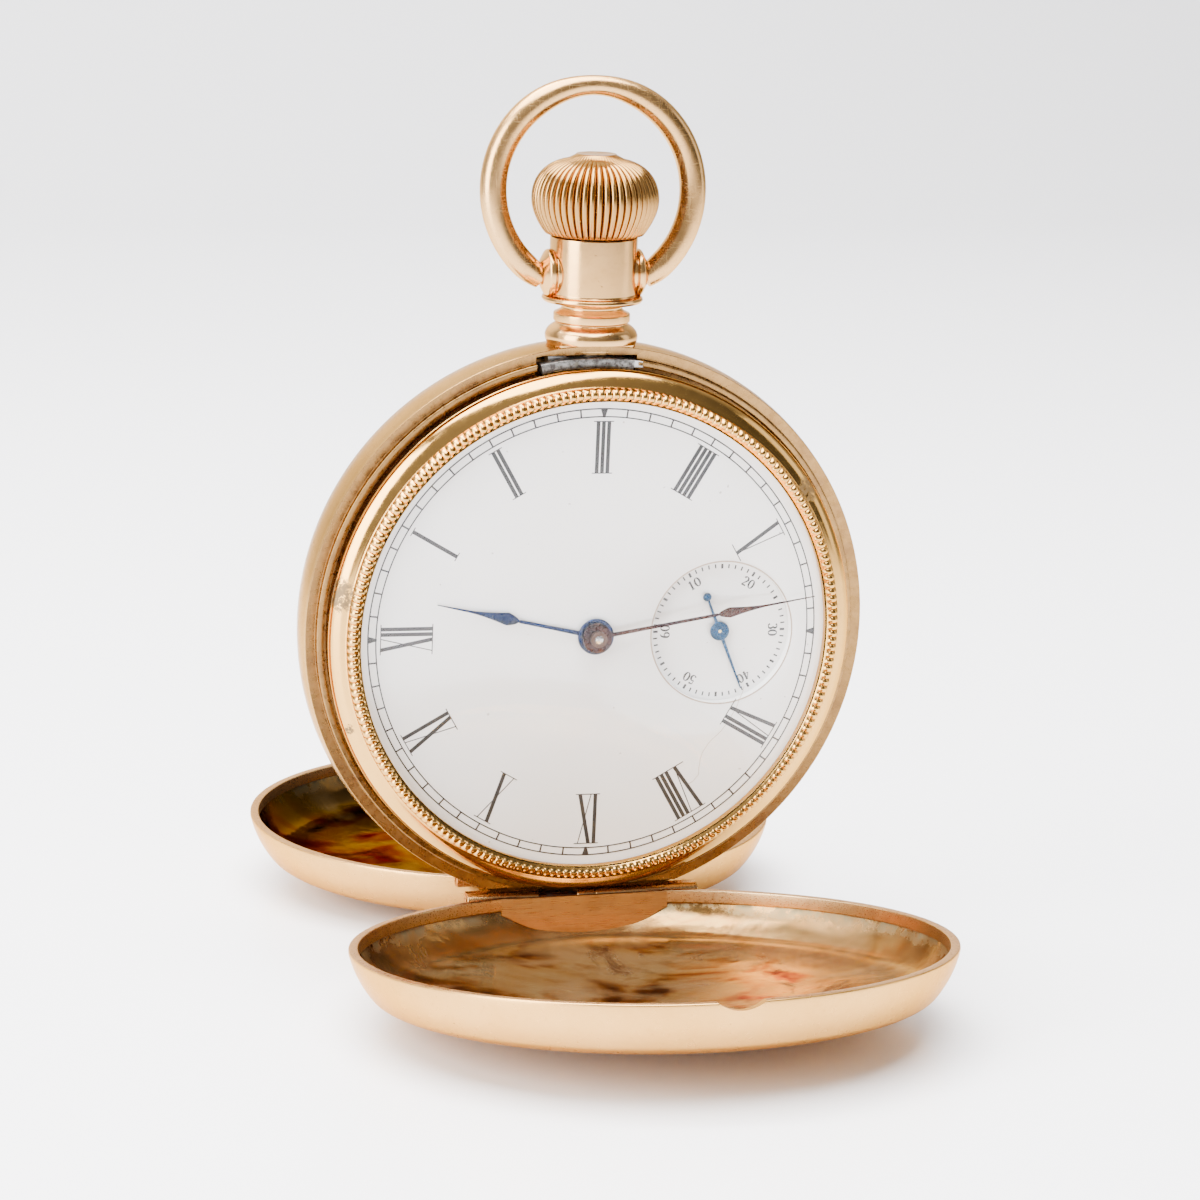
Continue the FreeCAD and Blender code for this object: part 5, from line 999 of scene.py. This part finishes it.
for second in range(60):
    long, wide = (0.46, 0.22) if second % 5 == 0 else (0.40, 0.14)
    start = SMALL_TRACK_OUT - long
    tick = patch([(start, -wide / 2), (SMALL_TRACK_OUT, -wide / 2), (SMALL_TRACK_OUT, wide / 2),
                  (start, wide / 2)], SINK_INK)
    small.append(at_angle(tick, second * 6))
for number in range(10, 70, 10):
    parts = []
    for k, c in enumerate(str(number)):
        lines = join([stroke(*line, SINK_INK) for line in DIGITS[c]])
        parts.append(at_angle(lines, 0, -0.33 + 0.66 * k))
    text = moved(join(parts), shifted(0, SMALL_FOOT, 0))
    small.append(at_angle(at_angle(text, -90), 180 - 6 * number))
piece("seconds_print", *join(small), print_black, "case", place=STAND @ SECONDS_PLACE @ PRINT_TURN,
      slot="enamel")

# Hairline crack in the enamel, and the dirt line round the seconds opening.
crack = [(14.8, -5.4), (14.2, -7.4), (13.3, -9.0), (11.9, -10.5), (11.0, -11.6), (10.7, -12.6), (10.6, -13.9),
         (10.2, -14.6), (9.3, -15.0)]
crack_line = []
for (x0, y0), (x1, y1) in zip(crack, crack[1:]):
    for k in range(4):
        t = k / 4
        x = x0 * (1 - t) + x1 * t + JITTER.uniform(-0.06, 0.06)
        y = y0 * (1 - t) + y1 * t + JITTER.uniform(-0.06, 0.06)
        crack_line.append((x, y))
crack_sheet = stroke(crack_line, [0.05] * len(crack_line), 0.006)
piece("enamel_crack", *crack_sheet, print_crack, "case", slot="enamel")
edge_line = at_angle(band(6.84, 6.98, 0.006, 160), 0, *SECONDS)
piece("seconds_edge_line", *edge_line, print_crack, "case", slot="enamel")


# ---- hands
def blade(outline, low, high, ridge):
    """A hand arm with a raised middle line: outline is (distance from centre, half width)."""
    verts = []
    for s, half in outline:
        verts += [(s, -half, low), (s, -half, high), (s, 0, high + ridge * min(1.0, half / 0.5)),
                  (s, half, high), (s, half, low)]
    steps = len(outline) - 1
    ends = [(0, 1, 2, 3, 4), tuple(range(steps * 5 + 4, steps * 5 - 1, -1))]
    return verts, quads(5, [(i, i + 1) for i in range(steps)]) + ends


def spade_outline(start, back, front, tip, wide, arm, point):
    """Half widths of a spade hand: slim arm, leaf that swells quickly and thins slowly, fine tip."""
    out = [(start, arm * 1.25), ((start + back) / 2, arm), (back - 0.15, arm * 0.92)]
    for k in range(0, 25):
        t = k / 24
        body = (t / 0.22) ** 0.6 if t < 0.22 else (1 - (t - 0.22) / 0.78) ** 1.7
        out.append((back + (front - back) * t, point + (wide - point) * max(0.0, min(1.0, body))))
    out.append((tip, 0.035))
    return out


def boss(rings, x=0.0, y=0.0):
    return at_angle(lathe(soften(rings, 3), 48), 0, x, y)


# Angles of the hands in degrees, from the VI (+X) toward the pendant (+Y).
HOUR_ANGLE = 167.0
MINUTE_ANGLE = 8.9
SECONDS_ANGLE = -68.0
hour_blade = blade(spade_outline(1.5, 7.6, 12.6, 15.5, 0.62, 0.17, 0.10), 0.32, 0.43, 0.10)
hour_boss = boss([(1.15, 0.3, 0.04), (1.72, 0.3, 0.05), (1.72, 0.58, 0.12), (1.15, 0.60, 0.04)])
piece("hour_spade", *join([at_angle(hour_blade, HOUR_ANGLE), hour_boss]), blue_steel, "hour",
      stands_for=("hour_hand",), slot="blued_steel", sharp=25)
minute_blade = blade(spade_outline(1.3, 11.9, 17.0, 21.4, 0.50, 0.15, 0.085), 0.76, 0.86, 0.10)
minute_boss = boss([(0.75, 0.84, 0.04), (1.42, 0.84, 0.05), (1.42, 1.20, 0.16), (0.75, 1.28, 0.04)])
piece("minute_spade", *join([at_angle(minute_blade, MINUTE_ANGLE), minute_boss]), purple_steel, "minute",
      stands_for=("minute_hand",), slot="blued_steel", sharp=25)
cannon_top = boss([(0.42, 0.9), (0.73, 0.9), (0.73, 1.66, 0.10), (0.42, 1.70, 0.03)])
piece("cannon_tip", *cannon_top, boss_steel, "minute", slot="steel")
arbor_tip = lathe([(0.40, 1.2), (0.40, 1.66), (0.36, 1.74), (0.2, 1.80), (0.0, 1.82)], 32, closed=False)
piece("arbor_tip", *arbor_tip, bare_steel, "minute", slot="steel")
hour_collar = boss([(1.05, 0.56, 0.02), (1.35, 0.56, 0.05), (1.30, 0.74, 0.05), (1.05, 0.76, 0.02)])
piece("hour_collar", *hour_collar, boss_steel, "hour", slot="steel")

needle = blade([(0.6, 0.17), (2.0, 0.14), (4.0, 0.11), (6.1, 0.05)], -0.70, -0.58, 0.05)
counterpoise = blade([(0.6, 0.15), (2.0, 0.12), (3.4, 0.10)], -0.70, -0.58, 0.05)
seconds_boss = [(0.17, -0.74, 0.03), (0.92, -0.74, 0.05), (0.92, -0.52, 0.10), (0.17, -0.50, 0.02)]
disc = [(0, -0.72), (0.40, -0.72), (0.42, -0.62), (0.36, -0.52), (0.2, -0.49), (0, -0.48)]
disc = moved(lathe(disc, 32, closed=False), shifted(3.6, 0, 0))
seconds_parts = [at_angle(needle, SECONDS_ANGLE, *SECONDS),
                 at_angle(counterpoise, SECONDS_ANGLE + 180, *SECONDS),
                 boss(seconds_boss, *SECONDS),
                 at_angle(disc, SECONDS_ANGLE + 180, *SECONDS)]
piece("seconds_needle", *join(seconds_parts), pale_blue_steel, "seconds", stands_for=("seconds_hand",),
      slot="blued_steel", sharp=25)

# ---- finishes of the kept CAD nodes
FINISHES = {
    bare_steel: ("crown_stem", "winding_arbor", "winding_pinion", "castle_wheel", "dust_cover_pin",
                 "lift_spring", "lock_spring", "barrel_arbor", "mainspring", "crown_wheel",
                 "crown_wheel_screw", "ratchet_wheel", "click", "case_screws", "pallet_fork",
                 "roller_table", "regulator", "escape_wheel"),
    boss_steel: ("cannon_pinion",),
    blue_steel: ("hairspring", "plate_screws", "cock_screw", "click_screw"),
    gilt: ("centre_wheel", "third_wheel", "fourth_wheel", "mainspring_barrel", "minute_wheel", "hour_wheel",
           "pillars", "balance_wheel"),
    nickel: ("pillar_plate", "top_plate", "pallet_bridge", "balance_cock"),
    ruby_red: ("train_jewels", "pallet_stones", "roller_jewel", "balance_cap_jewel"),
}
for finish, nodes in FINISHES.items():
    for node in nodes:
        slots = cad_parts[node].data.materials
        slots.clear()
        slots.append(finish)

# ---- studio
FLOOR_HALF = 12.0
FLOOR_BACK = 1.6
COVE = 0.9
COVE_STEPS = 12
WALL_TOP = 4.0
sweep = []
for x in (-FLOOR_HALF, FLOOR_HALF):
    sweep += [(x, -FLOOR_HALF, 0.0), (x, FLOOR_BACK, 0.0)]
    for k in range(1, COVE_STEPS + 1):
        a = math.radians(90 * k / COVE_STEPS)
        sweep.append((x, FLOOR_BACK + COVE * math.sin(a), COVE - COVE * math.cos(a)))
    sweep.append((x, FLOOR_BACK + COVE, WALL_TOP))
half = len(sweep) // 2
strips = [(k, half + k, half + k + 1, k + 1) for k in range(half - 1)]
floor = new_object("floor_sweep", sweep, strips, Matrix())
floor.data.materials.append(plain_floor("floor_paper"))
floor.data.shade_smooth()

# A room that is bright behind the watch and dim in front of it and to its right.
world = bpy.data.worlds.new("studio")
bpy.context.scene.world = world
world.use_nodes = True
sky = world.node_tree
background = sky.nodes["Background"]
background.inputs["Color"].default_value = (0.97, 0.955, 0.98, 1)
split = sky.nodes.new("ShaderNodeSeparateXYZ")
sky.links.new(sky.nodes.new("ShaderNodeTexCoord").outputs["Generated"], split.inputs[0])
strength = sky.nodes.new("ShaderNodeMath")
strength.operation = "MULTIPLY"
# Along each axis: direction from and to, strength from and to.
for place, (axis, *span) in enumerate((("Y", -0.25, 0.45, 0.62, 4.4), ("X", 0.02, 0.80, 1.0, 0.22))):
    graded = sky.nodes.new("ShaderNodeMapRange")
    sky.links.new(split.outputs[axis], graded.inputs[0])
    for socket, value in enumerate(span, 1):
        graded.inputs[socket].default_value = value
    sky.links.new(graded.outputs[0], strength.inputs[place])
sky.links.new(strength.outputs[0], background.inputs["Strength"])


def soft_light(name, at, toward, size, power):
    lamp = bpy.data.lights.new(name, "AREA")
    lamp.shape = "RECTANGLE"
    lamp.size, lamp.size_y = size
    lamp.energy = power
    item = bpy.data.objects.new(name, lamp)
    item.location = at
    item.rotation_euler = (Vector(toward) - Vector(at)).to_track_quat("-Z", "Y").to_euler()
    bpy.context.scene.collection.objects.link(item)


soft_light("top_softbox", (-0.10, -0.10, 0.80), (0, 0, 0.02), (0.9, 0.7), 38.0)
soft_light("left_softbox", (-0.80, -0.34, 0.35), (0, 0, 0.04), (0.5, 0.8), 24.0)
soft_light("right_softbox", (0.85, -0.10, 0.30), (0, 0, 0.04), (0.3, 0.6), 1.2)
soft_light("back_wash", (-0.5, 0.7, 1.9), (-0.2, 2.5, 0.6), (2.4, 0.6), 150.0)

camera_data = bpy.data.cameras.new("camera")
camera_data.lens = 99.97
camera_data.sensor_width = 36.0
camera_data.clip_start = 0.02
camera = bpy.data.objects.new("camera", camera_data)
bpy.context.scene.collection.objects.link(camera)
eye = Vector((-77.12, -304.06, 82.23)) * MM
aim = Vector((-2.25, -17.20, 36.38)) * MM
CAMERA_ROLL = 0.484
sight = (aim - eye).to_track_quat("-Z", "Y").to_matrix().to_4x4()
camera.matrix_world = shifted(*eye) @ sight @ turned(CAMERA_ROLL, "Z")
bpy.context.scene.camera = camera

bpy.context.view_layer.update()
